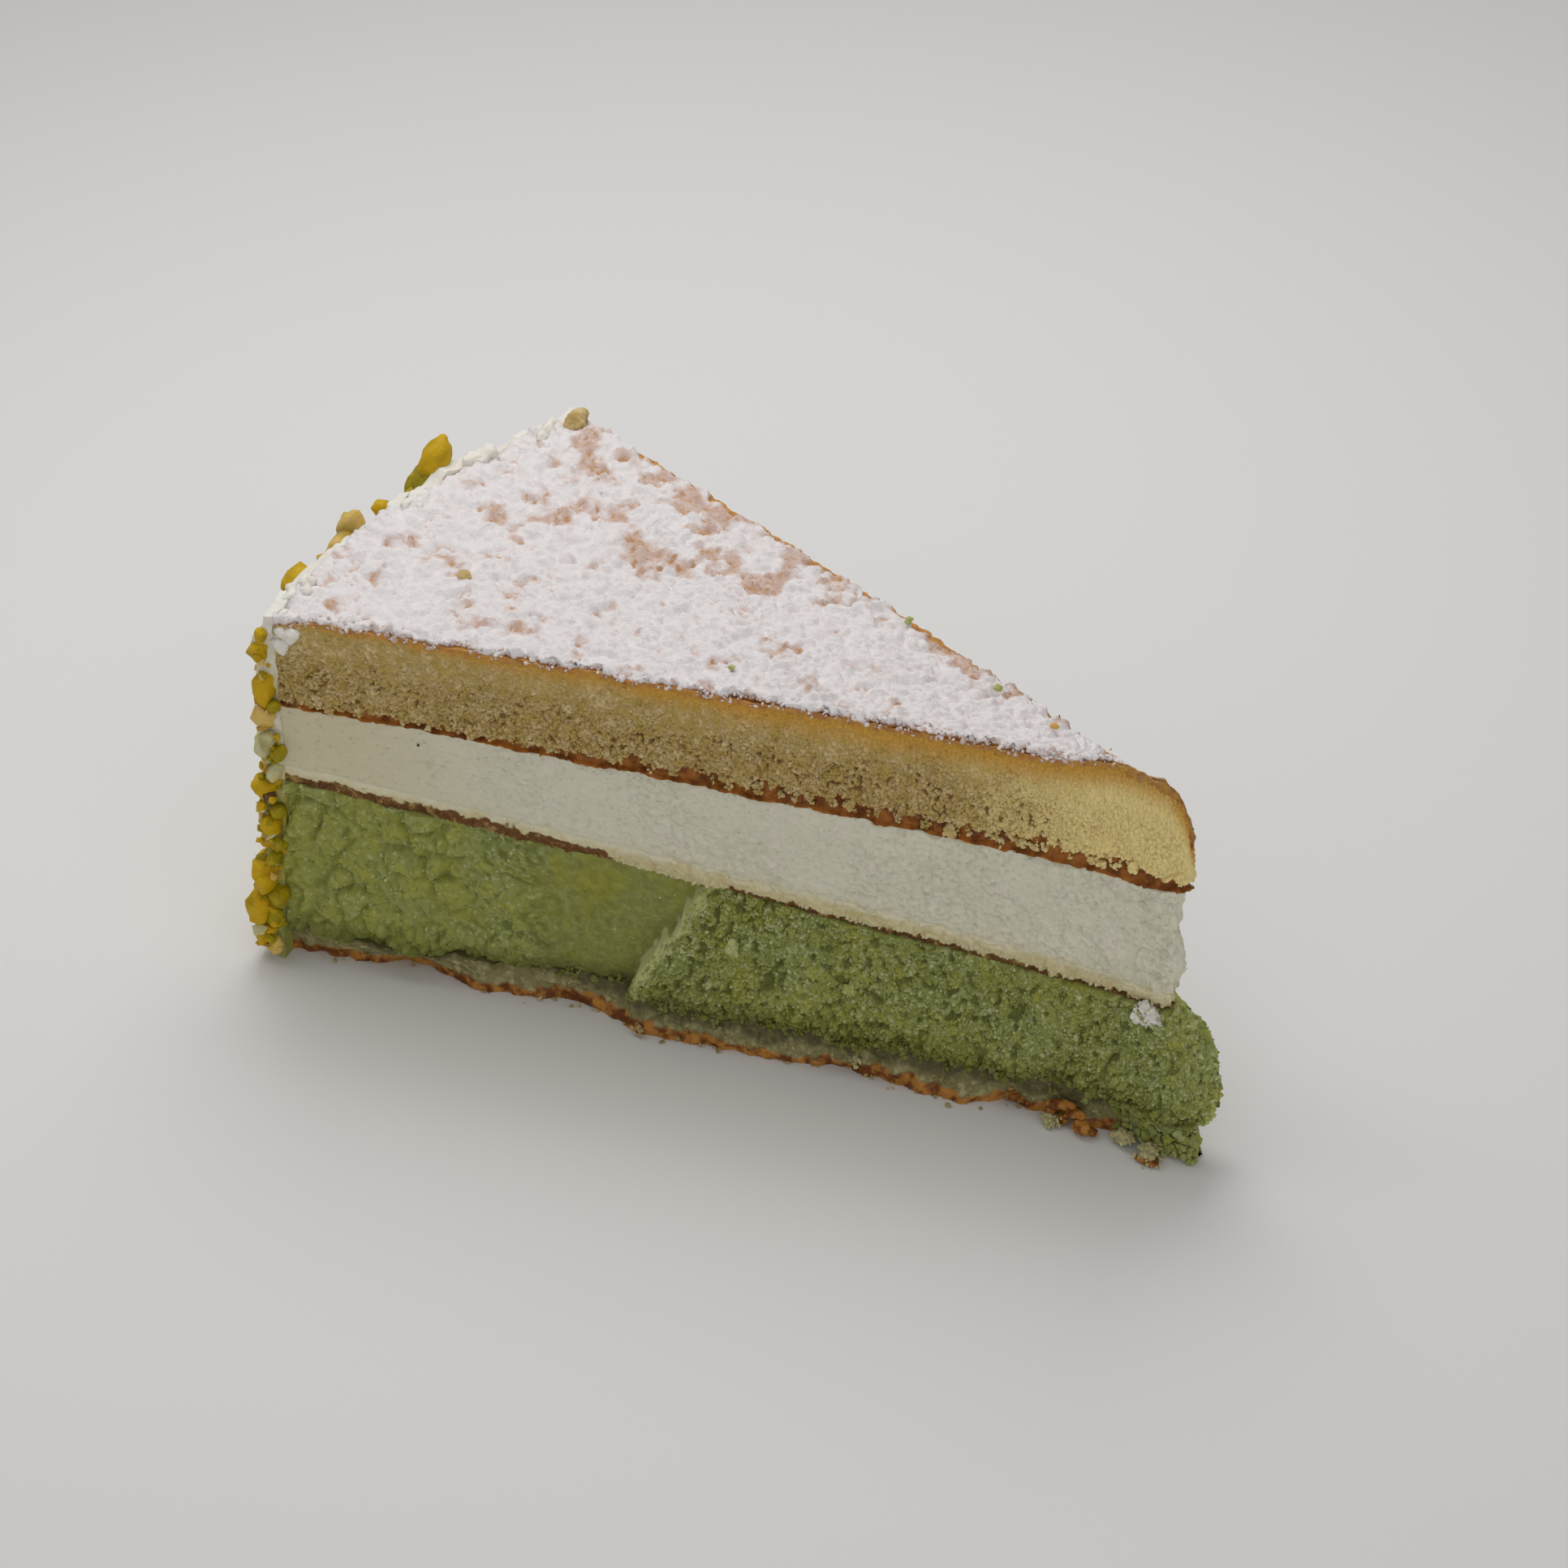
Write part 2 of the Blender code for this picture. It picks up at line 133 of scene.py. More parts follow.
# How far the base's torn lower edge stands out from the front cut, at distances from the apex, in mm
TORN_EDGE = (
    (10, 0.0), (13, -2.1), (18, -2.0), (21, -2.5), (27, -0.2), (35, -1.0), (43, -2.1), (48, -0.7),
    (58, -0.7), (67, -0.1), (77, -3.5), (79, -4.1), (87, -3.0), (92, -2.4), (101, -5.5), (108, -3.2),
    (115, -3.2), (123, -1.0),
)

# The rounded nose of the pistachio cream
NOSE_REACH = 6.6 * MM
NOSE_HEIGHT = 10.5 * MM
NOSE_HALF_HEIGHT = 11.4 * MM

# The broken hollow in the front of the pistachio cream, behind a ridge from its top to its foot
HOLLOW_DEPTH = 3.6 * MM
HOLLOW_DEPTH_AT_TOP = 0.45
HOLLOW_FAR = 98 * MM
HOLLOW_EDGE = 0.9 * MM
CALM_DEPTH = 1.1 * MM  # the hollow is smooth where it is deeper than this
BRIGHT_PATCH = Vector((74.5 * MM, 22.0 * MM))  # a spot of brighter cream at the top of the hollow
BRIGHT_PATCH_RADIUS = 4.4 * MM
RIDGE_TOP = Vector((60.6 * MM, 22.8 * MM))
RIDGE_FOOT = Vector((70.2 * MM, 5.9 * MM))
RIDGE_SPREAD = 26 * MM
CREST_WIDTH = 1.1 * MM

# Where the thin dark skin under the sponge disc breaks off and starts again, from the apex
DISC_SKIN_END = 56 * MM
DISC_SKIN_AGAIN = 70 * MM

ICING_ROOM = 1.2 * MM  # how far the top sponge lies under its crust
ICING_ROOM_WIDTH = 0.9  # of half the slice
ICING_BLEND = 0.8  # of half the slice: from here to the edge the icing follows the cut
ICING_COLUMNS = 430
ICING_ACROSS = 180
POINT_BARE = 9.0 * MM  # the sugar stops this far from the apex
BARE_CRUST = -0.5  # the rise mark of the crust's bare wall

# The crust's wall at its edges, as how far each row drops and how far it moves out, in mm
CRUST_WALL = ((0.1, 0.06), (0.14, -0.1), (1.2, -1.3))
# Patches where the sugar is thin: distance from the apex, place across the slice and radius, in mm
BARE_PATCHES = (
    (91.7, -19.2, 3.2), (84.5, -17.6, 2.6), (79.5, -15.6, 2.8), (61.5, -10.0, 1.6), (56.0, -3.2, 2.4),
    (49.0, -7.6, 1.8), (37.2, -5.6, 1.8), (83.7, 5.6, 5.0), (78.0, 8.2, 4.5), (67.0, 10.6, 3.6),
    (68.4, 17.0, 2.2), (59.6, 14.6, 2.4), (89.1, 20.6, 4.2), (83.0, 19.8, 4.2), (95.0, 23.4, 3.0),
    (104.7, 20.8, 3.8), (106.0, 3.2, 3.4), (101.4, 6.8, 2.6), (104.4, -8.5, 3.2), (112.0, -8.0, 2.6),
    (96.0, 13.0, 2.6), (99.5, 9.5, 2.2), (42.5, 10.6, 2.2), (35.9, 8.4, 2.0), (28.0, 6.2, 1.8),
    (110.0, 25.5, 3.0), (100.0, 24.0, 2.4),
)
# Clumps at the foot of the front: distance from the apex, height, how far out, size, count and brownness
BASE_CLUMPS = (
    (12.9, 2.0, 1.2, 1.0, 16, 1.0), (13.6, 0.9, 2.0, 0.9, 14, 1.0), (14.5, 0.7, 2.6, 1.1, 18, 0.15),
    (1.1, 0.7, 3.4, 1.5, 30, 0.1), (5.0, 1.2, 2.2, 1.3, 20, 0.0), (41.1, 2.5, 0.8, 1.2, 22, 0.0),
    (21.0, 1.6, 0.5, 0.8, 12, 0.8), (70.0, 1.0, 0.6, 0.9, 12, 0.6),
)

# The coat on the rim and its nuts, as in the solids
COAT_GAP = 0.3 * MM
COAT_THICKNESS = 2.5 * MM
COAT_TOP_THICKNESS = 1.2 * MM
COAT_ROUNDING = 4 * MM
COAT_LUMP = 0.7 * MM
COAT_LUMP_LENGTH = 9 * MM
COAT_TOP = 52.8 * MM
COAT_TOP_LUMP = 1.2 * MM
TOP_CREAM = 0.5 * MM  # how far the cream squeezes up over the edge of the crust
COAT_COLUMNS = 160
COAT_ROWS = 130
COAT_SEAM = 0.05 * MM  # keeps the cream off the layers
COAT_FOOT = 0.3  # its thickness at the floor, as a share
COAT_FOOT_HEIGHT = 4 * MM
COAT_END = 0.5 * MM  # how far its ragged ends are drawn in

# The chopped nuts, in uneven rows over the coat
NUT_SEED = 11
NUT_ROW_STEP = 5.6 * MM
NUT_COLUMN_STEP = 5.8 * MM
NUT_LOWEST = 3.4 * MM
NUT_HIGHEST = 51 * MM
NUT_KEPT = 0.86
NUT_RADIUS = (1.7 * MM, 2.9 * MM)
NUT_SHAPE = (0.8, 1.2, 0.85)
NUT_CHIPPING = (0.78, 1.12)
NUT_FLOOR = 0.3 * MM
NUT_DEPTH = 0.4 * MM
# Larger kernels at the outline of the rim: angle in degrees, height and radius in mm
KERNELS = (
    (4.7, 54.6, 3.2),
    (3.7, 51.2, 2.8),
    (1.4, 51.6, 1.9),
    (-1.0, 52.9, 1.9),
    (-3.4, 51.8, 3.4),
    (-7.1, 51.6, 1.6),
    (-9.8, 51.6, 2.8),
    (-14.8, 47.0, 2.3),
    (-14.0, 42.3, 2.2),
    (-13.8, 37.3, 2.6),
    (-15.0, 33.6, 2.6),
    (-14.3, 29.2, 2.5),
    (-14.4, 18.6, 2.4),
    (-15.3, 14.2, 2.6),
    (-15.4, 8.2, 3.0),
    (-14.8, 3.8, 2.6),
)
# Their kinds, from 0 to 1: green, mustard, tan, mint and purple
KERNEL_KINDS = (
    0.5, 0.1, 0.2, 0.5, 0.75, 0.45, 0.33, 0.5, 0.4, 0.75, 0.9, 0.8, 0.35, 0.55, 0.5, 0.7,
)
KINDS = {"green": 0.0, "mustard": 0.27, "tan": 0.66, "mint": 0.88, "purple": 0.975}
LOW_KINDS = (0.1, 0.1, 0.4, 0.4, 0.4, 0.75, 0.9)  # the kinds of the small bits low on the rim
KERNEL_ROOM = 2.6 * MM
# More pieces of nut, where the coat was cut beside the front cut and along the top of the rim: angle,
# height, radius, how far out from the layers and kind
MORE_NUTS = (
    (-15.6, 50.6, 1.3, 1.6, 0.45), (-15.4, 42.6, 2.4, 1.9, 0.4), (-15.6, 40.2, 1.4, 0.6, 0.1),
    (-15.4, 38.0, 2.3, 2.2, 0.75), (-15.6, 35.0, 1.7, 1.8, 0.93), (-15.6, 33.2, 1.4, 0.3, 0.1),
    (-15.5, 29.8, 1.7, 1.3, 0.9), (-15.6, 26.2, 1.3, 2.0, 0.99), (-15.6, 24.0, 1.6, 0.6, 0.15),
    (-15.5, 21.6, 2.2, 1.8, 0.5), (-15.7, 19.0, 1.4, 0.2, 0.1), (-15.6, 16.6, 1.6, 1.0, 0.12),
    (-15.5, 12.4, 2.3, 2.2, 0.4), (-15.6, 10.6, 1.8, 0.2, 0.1), (-15.6, 7.0, 1.7, 1.0, 0.1),
    (-15.4, 4.2, 2.1, 2.6, 0.3), (-15.7, 2.6, 1.4, 0.8, 0.75), (4.5, 50.8, 3.1, 5.6, 0.1),
    (1.4, 50.6, 1.8, 3.3, 0.1), (-4.6, 50.4, 3.2, 3.0, 0.75), (-6.4, 50.2, 1.5, 3.2, 0.45),
    (-12.6, 51.0, 1.6, 1.8, 0.4),
)

# The camera, towards the middle of the slice
LOOK_AT = Vector((4.63 * MM, -3.40 * MM, 35.74 * MM))
CAMERA_AZIMUTH = math.radians(36.47)
CAMERA_ELEVATION = math.radians(33.09)
CAMERA_ROLL = math.radians(-1.07)
CAMERA_DISTANCE = 600 * MM
SENSOR_WIDTH = 36.0
FOCAL_LENGTH = 109.565
FLOOR_DROP = 0.05 * MM  # keeps the floor clear of the slice's flat underside
# The soft lamps: where they are, their side and their power
LAMPS = (
    (Vector((-0.15, 0.0, 0.4)), 0.3, 0.64),
    (Vector((-0.13, 0.2, 0.4)), 0.3, 0.80),
    (Vector((0.40, -0.40, 0.3)), 0.8, 1.45),
)

# What a mesh carries at its corners for its material: how far a place is under the top and over the
# bottom of its layer, in mm, how deep in a pit it is, its tone and how brown it is. The pistachio cream
# takes brown for yellow, the nuts take it for their kind, and the icing takes rise for its thickness.
# The finishes of the cut layers darken a place by its pit, as painted shade.
Marks = namedtuple("Marks", "fall rise pit tone brown")
AT_EDGE = 0.999  # past this a corner of a unit block is on the block's edge
AT_POINT = 0.0005  # below this a place along the unit block is on the point's own face
SCATTER_SEEDS = {
    "sponge_crumbs": 31,
    "ricotta_crumbs": 32,
    "pistachio_crumbs": 33,
    "base_crumbs": 34,
    "pistachio_bits": 35,
    "sugar_crumbs": 36,
}
PALE_CRUMB = Marks(9, 2, 0, 0.8, 0)
FRONT_SHARE = 0.75  # of a layer's grains lies on the front cut
SHARP_ANGLE = 1.0  # edges of a unit block that bend more than this stay sharp


# Form ---------------------------------------------------------------------------------------------


def smooth_step(value):
    value = min(1.0, max(0.0, value))
    return value * value * (3 - 2 * value)


def past(value, start, length):
    """0 up to the start, 1 from a length past it, and soft between."""
    return smooth_step((value - start) / length)


def ripple(place, length, seed):
    """Soft noise from -1 to 1 that repeats over about the given length."""
    return noise.noise(place / length + Vector((seed * 7.31, seed * 3.17, seed * 5.93)))


def waves(place, *terms):
    """The sum of some soft waves, each given by its height and length in mm and its seed."""
    return sum(height * MM * ripple(place, length * MM, seed) for height, length, seed in terms)


def bumps(pairs, place, seed):
    """The sum of some bumps, each given by how far it stands out and how long it is, in mm."""
    return waves(place, *((*pair, seed + number) for number, pair in enumerate(pairs)))


def cells(place, size, seed):
    """Irregular grains: how far a place bulges out of the crevice round its grain (0 in the crevice, 1 on
    the grain), and a random value from 0 to 1 for the grain."""
    spot = place / size + Vector((seed * 5.17, seed * 2.63, seed * 3.91))
    spot += 0.4 * noise.noise_vector(spot * 1.4)
    distances, middles = noise.voronoi(spot)
    bulge = min(1.0, (distances[1] - distances[0]) / 0.4)
    return bulge * (2 - bulge), noise.cell(middles[0] * 9.7) * 0.5 + 0.5


def between(pairs, value):
    """The height of a line through some points at a value, level before the first and after the last."""
    for (start, low), (end, high) in zip(pairs, pairs[1:]):
        if value < end:
            return low + (high - low) * smooth_step((value - start) / (end - start))
    return pairs[-1][1]


def surface_height(name, from_apex, across):
    """Height of a surface between two layers, a curve through its three heights with a gentle wave."""
    rim, halfway, apex = (value * MM for value in SURFACES[name])
    share = min(1.0, max(0.0, from_apex / CAKE_RADIUS))
    bow = 4 * (halfway - (rim + apex) / 2)
    height = apex + (rim - apex) * share + bow * share * (1 - share)
    if name in ("floor", "sponge_top"):
        return height
    seed = list(SURFACES).index(name)
    place = Vector((from_apex, across, 0.0))
    wave = BASE_EDGE_WAVE if name == "base_top" else EDGE_WAVE
    fine = ripple(place, EDGE_WAVE_LENGTH, seed + 60) + 0.5 * ripple(place, EDGE_WAVE_LENGTH / 3, seed + 70)
    return height + SURFACE_WAVE * ripple(place, SURFACE_WAVE_LENGTH, seed) + wave * fine


def rim_radius(height):
    """The cake flares a little towards its foot."""
    return CAKE_RADIUS + RIM_FLARE * (1 - smooth_step(height / RIM_FLARE_HEIGHT))


def half_width(length, reach, radius):
    """Half the width of a layer at a length from its rounded point, which reaches past the apex."""
    straight = math.tan(HALF_ANGLE) * (length - reach + reach * math.exp(-length / REACH_FADE))
    swelling = 2 * radius * length * math.exp(-length / POINT_FADE)
    return math.sqrt(max(straight, 0.0) ** 2 + swelling)


def even_to_spread(share):
    """Stations close together at the point and further apart at the rim."""
    return share * (STATION_SPREAD + (1 - STATION_SPREAD) * share)


def spread_to_even(share):
    """The other way round: the even share of a station."""
    share = min(1.0, max(0.0, share))
    rest = 1 - STATION_SPREAD
    return (math.sqrt(STATION_SPREAD**2 + 4 * rest * share) - STATION_SPREAD) / (2 * rest)


def crust_drop(length, side):
    """How far the top crust has bent down at a length from the point and a place across, from -1 at the
    front cut to 1 at the back cut."""
    bend = max(0.0, 1 - length / CRUST_DROP_LENGTH)
    bent = CRUST_DROP * (1 - math.sqrt(1 - min(bend, 1.0) ** 2))
    swell = FRONT_SWELL * math.exp(-(((length - FRONT_SWELL_PLACE) / FRONT_SWELL_LENGTH) ** 2))
    sink = BACK_SINK * math.exp(-length / BACK_SINK_LENGTH)
    return bent - swell * (1 - side) / 2 + sink * (1 + side) / 2


def ridge_share(height):
    """How far down the ridge a height is, from 0 at its top to 1 at its foot."""
    return (RIDGE_TOP.y - height) / (RIDGE_TOP.y - RIDGE_FOOT.y)


def ridge_place(height):
    """How far from the apex the crest of the ridge is at a height."""
    wander = waves(Vector((height, 0, 0)), (1.1, 4, 71))
    return RIDGE_TOP.x + (RIDGE_FOOT.x - RIDGE_TOP.x) * ridge_share(height) + wander


def broken_hollow(from_apex, height):
    """How deep the broken hollow is. It starts behind a slanting ridge and fades out towards the rim."""
    share, ridge = ridge_share(height), ridge_place(height)
    behind = from_apex - ridge
    if behind <= 0 or from_apex >= HOLLOW_FAR:
        return 0.0
    fade = 1 - behind / (HOLLOW_FAR - ridge)
    lower = HOLLOW_DEPTH_AT_TOP + (1 - HOLLOW_DEPTH_AT_TOP) * smooth_step(share)
    return HOLLOW_DEPTH * lower * smooth_step(behind / HOLLOW_EDGE) * fade**0.7


def along_ridge(from_apex, height):
    """How far the grid of the pistachio cream shifts to run along the ridge."""
    middle = (RIDGE_TOP + RIDGE_FOOT) / 2
    slope = (RIDGE_FOOT.x - RIDGE_TOP.x) / (RIDGE_TOP.y - RIDGE_FOOT.y)
    near = smooth_step(1 - abs(from_apex - middle.x) / RIDGE_SPREAD)
    return slope * (middle.y - height) * near


# Cuts: how far a cut stands out at a place, then how deep in a pit the place is, its tone and how brown
# it is. These run from 0 to 1, and further where another colour takes over.


def sponge_cut(sizes, side, from_apex, place, fall, rise):
    """Open crumb, denser towards the crust, with the dark skin under it drawn back behind a crumbling
    edge that hangs over it in clumps. The skin's lower edge stands out as a thin lip."""
    edge = SKIN_EDGE - SKIN_EDGE_SLOPE * from_apex - SKIN_EDGE_DROP * smooth_step(1 - from_apex / (6 * MM))
    edge += waves(place, (0.8, 3.4, 61), (0.9, 1.3, 62), (0.5, 0.6, 63))
    skin = 1 - smooth_step((rise - edge) / (0.25 * MM) + 0.5)
    lip = smooth_step(1 - rise / (0.5 * MM))
    clump = 0.55 + 0.9 * ripple(place, 2.4 * MM, 64 + side)
    overhang = OVERHANG * clump * smooth_step(1 - max(0.0, rise - edge) / OVERHANG_HEIGHT)
    depth = fall - 1.0 * MM + waves(place, (2.4, 5, 19 + side))
    openness = past(depth, 0.5 * MM, 7.5 * MM) * (0.45 + 0.55 * past(from_apex, 7 * MM, 16 * MM))
    bulge, chance = cells(place, sizes.pore_size, 10 + side)
    bulge_2, chance_2 = cells(place, 2.2 * sizes.pore_size, 12 + side)
    hole = past(-ripple(place, 0.66 * MM, 14 + side), 0.14, 0.2)
    hole *= past(ripple(place, 2.9 * MM, 16 + side), -0.2, 0.4) * (0.3 + 0.7 * openness)
    out = bumps(BUMPS["top_sponge"], place, 10 + side) + openness * waves(place, (0.25, 1.6, 18))
    relief = sizes.pore_depth * (0.75 + 0.25 * openness) * (bulge - 1 + 0.7 * (chance - 0.5) * bulge)
    relief += 0.24 * MM * openness * ((bulge_2 - 1) * chance_2 + (chance_2 - 0.5) * bulge_2)
    relief -= (0.15 + 0.4 * openness) * MM * hole
    crust_edge = smooth_step(1 - fall / (1.3 * MM))
    out += crust_edge * (0.15 * MM + waves(place, (0.45, 1.1, 65)))
    out += (overhang + relief * (1 - 0.6 * crust_edge)) * (1 - skin)
    out -= (SKIN_DEPTH * (1 - lip) - waves(place, (0.18, 1.4, 66), (0.2, 0.6, 67))) * skin
    pit = (0.45 + 0.55 * openness) * max(0.8 * (1 - bulge), hole, 0.5 * (1 - bulge_2) * openness)
    return out, pit + (0.35 * (1 - lip) - pit) * skin, chance, skin


def ricotta_cut(sizes, side, from_apex, place, fall, rise):
    """Nearly flat where the knife smeared it, with soft grains and fine level cracks, crags under the
    skin and crumbly steps near the point."""
    coarse = Vector((place.x / 1.6, place.y / 1.6, place.z))
    smeared = Vector((place.x / 4, place.y / 4, place.z))
    ragged = 1 - smooth_step(from_apex / RAGGED_POINT)
    out = bumps(BUMPS["ricotta_cream"], coarse, 20 + side) + ragged * bumps(RAGGED_BUMPS, place, 23 + side)
    out += sizes.smear_depth * (ripple(smeared, 0.9 * MM, 24 + side) + ripple(coarse, 1.3 * MM, 25 + side))
    worked = 0.45 + 0.55 * smooth_step(ripple(place, 12 * MM, 26 + side) * 2 + 0.6)
    worked *= 1 - 0.55 * past(from_apex, 84 * MM, 12 * MM)
    near_skin = smooth_step(1 - fall / (3.2 * MM)) * smooth_step(1.2 - abs(from_apex - 25 * MM) / (22 * MM))
    torn = max(near_skin, 0.8 * smooth_step(ripple(place, 8 * MM, 26 + side) * 2 - 0.1))
    crack = ripple(smeared, 0.8 * MM, 28 + side) + 0.5 * ripple(place, 0.6 * MM, 36)
    crack = past(crack, 0.36, 0.12) * torn
    bulge, chance = cells(coarse, 0.7 * MM, 29 + side)
    bulge_2, chance_2 = cells(coarse, 2.1 * MM, 32 + side)
    crags = past(-ripple(coarse, 1.6 * MM, 27 + side), 0.05, 0.12)
    rough = max(near_skin, ragged, 0.35 * worked) * crags
    worked *= 1 + 0.6 * smooth_step((78 * MM - from_apex) / (20 * MM))
    crease = abs(ripple(coarse, 1.1 * MM, 37 + side)) + 0.6 * abs(ripple(coarse, 0.55 * MM, 38 + side))
    out += worked * MM * (0.34 * min(crease, 0.5) - 0.1)
    out += worked * MM * (0.08 * (bulge - 0.5) + 0.14 * (chance - 0.5) * bulge)
    out += worked * MM * (0.1 * (bulge_2 - 0.5) + 0.26 * (chance_2 - 0.5) * bulge_2)
    out -= 0.14 * MM * crack + 0.35 * MM * rough + RICOTTA_SET_BACK
    pit = max(0.7 * crack, 0.6 * rough, 0.5 * (1 - min(1.0, 3.0 * crease)) * worked)
    return out, pit, chance, 0.0


def disc_cut(sizes, side, from_apex, place, fall, rise):
    """The fuzzy edge of the thin sponge disc. It runs into the ricotta above, and its ragged dark skin
    underneath breaks off for a stretch of the front cut."""
    bulge, chance = cells(place, 0.5 * MM, 30 + side)
    edge = 0.7 * MM + waves(place, (0.5, 2.2, 33), (0.6, 0.7, 34))
    if side < 0:
        broken = past(from_apex, DISC_SKIN_END, 2 * MM)
        again = past(from_apex, DISC_SKIN_AGAIN, 3 * MM)
        edge += 0.8 * MM * again - 1.5 * MM * (broken - again)
    skin = 1 - smooth_step((rise - edge) / (0.2 * MM) + 0.5)
    out = bumps(BUMPS["sponge_disc"], place, 30 + side) + waves(place, (0.3, 1.1, 31 + side))
    out += (0.4 * (bulge - 1) + 0.6 * (chance - 0.5) * bulge - 0.3 * skin - 0.1) * MM
    pit = 0.8 * (1 - bulge) * (1 - skin)
    joined = smooth_step(1.2 - fall / (2.6 * MM) + 0.4 * ripple(place, 2.4 * MM, 35))
    if joined > 0:
        smeared, cream_pit, _, _ = ricotta_cut(sizes, side, from_apex, place, 9 * MM, 0.0)
        out += (smeared - out) * joined
        pit += (cream_pit - pit) * joined
    return out, pit, chance, skin


def pistachio_cut(sizes, side, from_apex, place, fall, rise):
    """Rough broken cream: crags and grains, the calmer hollow on the front, darker with painted shade, with
    a bright broken rim, partly pale flakes and partly a painted highlight, torn chunks towards the cake's
    rim and a drawn-in foot."""
    crags = bumps(BUMPS["pistachio_cream"], place, 40 + side)
    foot = FOOT_DEPTH * (1 - smooth_step(2 * place.z / FOOT_HEIGHT - 1))
    hollow = broken_hollow(from_apex, place.z) if side < 0 else 0.0
    calm = smooth_step(hollow / CALM_DEPTH) * smooth_step((90 * MM - from_apex) / (12 * MM))
    broken = 0.78 + 0.22 * smooth_step(ripple(place, 7 * MM, 54 + side) * 2.2 + 0.6)
    roughness = broken * (1 - 0.9 * calm) * (1 - 0.45 * past(from_apex, 80 * MM, 15 * MM))
    bulge, chance = cells(place, sizes.grain_size, 42 + side)
    bulge_2, chance_2 = cells(place, sizes.grain_size * 3.0, 45 + side)
    low = smooth_step(1.1 - rise / (6 * MM))
    split = smooth_step(1 - abs(ripple(place, 4.2 * MM, 47 + side)) / 0.09)
    split *= smooth_step(ripple(place, 9 * MM, 48 + side) * 2.4)
    gouge = past(-ripple(place, 1.2 * MM, 49 + side), 0.14, 0.25)
    slanted = Vector((place.x * 0.62 + place.z * 0.5, place.y * 0.5, 1.25 * place.z - 0.9 * place.x))
    big_gouge = smooth_step(1 - abs(ripple(slanted, 3.4 * MM, 51 + side)) / 0.09)
    big_gouge *= smooth_step(ripple(place, 5 * MM, 50 + side) * 3 - 0.1)
    out = crags * (1 - 0.6 * hollow / HOLLOW_DEPTH) - foot - hollow
    out += roughness * sizes.grain_depth * (bulge - 0.7 + 0.8 * (chance - 0.5) * bulge)
    out += roughness * (0.4 + 0.6 * low) * MM * (bulge_2 - 0.8 + 0.9 * (chance_2 - 0.5) * bulge_2)
    out -= roughness * (0.5 * split + 0.35 * gouge + 0.55 * big_gouge) * MM
    gouge = max(gouge, big_gouge)
    chunky = past(from_apex, 86 * MM, 8 * MM)
    if chunky > 0:
        chunk, size = cells(place, 4.6 * MM, 52 + side)
        out += chunky * MM * (1.1 * (chunk - 1) + 1.4 * (size - 0.5) * chunk)
    deep = max(0.75 * (1 - bulge), 0.6 * (1 - bulge_2), 0.9 * gouge, split)
    away = math.hypot(from_apex - BRIGHT_PATCH.x, place.z - BRIGHT_PATCH.y) / BRIGHT_PATCH_RADIUS
    patch = smooth_step(1.3 - away + 0.9 * ripple(place, 3.2 * MM, 44))
    near_rim = past(from_apex, 110 * MM, 8 * MM) * (0.4 + 0.6 * chance_2)
    yellow = max(low * (0.4 + 0.6 * chance_2) * (1 - calm), near_rim, 0.7 * (chance_2 > 0.85))
    crest = 0.0
    if side < 0:
        yellow = max(yellow, 1.7 * patch)
        off_crest = ridge_place(place.z) - from_apex + waves(place, (1.2, 1.6, 72))
        crest = smooth_step(1.2 - abs(off_crest / CREST_WIDTH - 0.2))
        crest *= smooth_step(1.4 - abs(ridge_share(place.z) - 0.5))
        out += 0.5 * MM * crest
    tone = 0.45 + (chance - 0.5) * roughness + 0.1 * calm
    # In the calm hollow the pit is raised: painted shade that darkens the hollow
    return out, (roughness * deep + 0.5 * calm) * (1 - crest), tone + 1.5 * crest, yellow


def base_cut(sizes, side, from_apex, place, fall, rise):
    """The soft moist base, drawn in under the cream, its brown skin torn along the lower edge."""
    hollow = broken_hollow(from_apex, RIDGE_FOOT.y) if side < 0 else 0.0
    bulge, chance = cells(place, 0.8 * MM, 53 + side)
    edge = BASE_SKIN_EDGE + waves(place, (0.9, 5, 57), (0.8, 1.5, 58))
    skin = 1 - smooth_step((place.z - edge) / (0.3 * MM) + 0.5)
    out = bumps(BUMPS["base_sponge"], place, 50 + side) - BASE_SET_BACK - 0.8 * hollow
    if side < 0 and from_apex > 8 * MM:
        near_floor = smooth_step(1.1 - rise / (4 * MM)) * past(from_apex, 8 * MM, 4 * MM)
        torn = between(TORN_EDGE, from_apex / MM) * MM + waves(place, (0.8, 2.2, 59))
        out += (torn - out) * near_floor
    grain = 0.35 + 0.65 * smooth_step(ripple(place, 3 * MM, 55 + side) * 2 + 0.5)
    out += grain * MM * (0.2 * (bulge - 0.7) + 0.22 * (chance - 0.5) * bulge) + 0.3 * MM * skin
    out += waves(place, (0.35, 1.6, 56 + side))
    green = 2.0 * smooth_step((6 * MM - from_apex) / (4 * MM) + 0.8 * ripple(place, 2 * MM, 60))
    return out, 0.8 * (1 - bulge) * grain, 0.6 * chance + green, skin * (1 - green / 2)


def steady_reach(reach):
    return lambda height: reach


def nose_reach(height):
    """The pistachio cream swells forward as a rounded nose."""
    return NOSE_REACH * (1 - ((height - NOSE_HEIGHT) / NOSE_HALF_HEIGHT) ** 2)


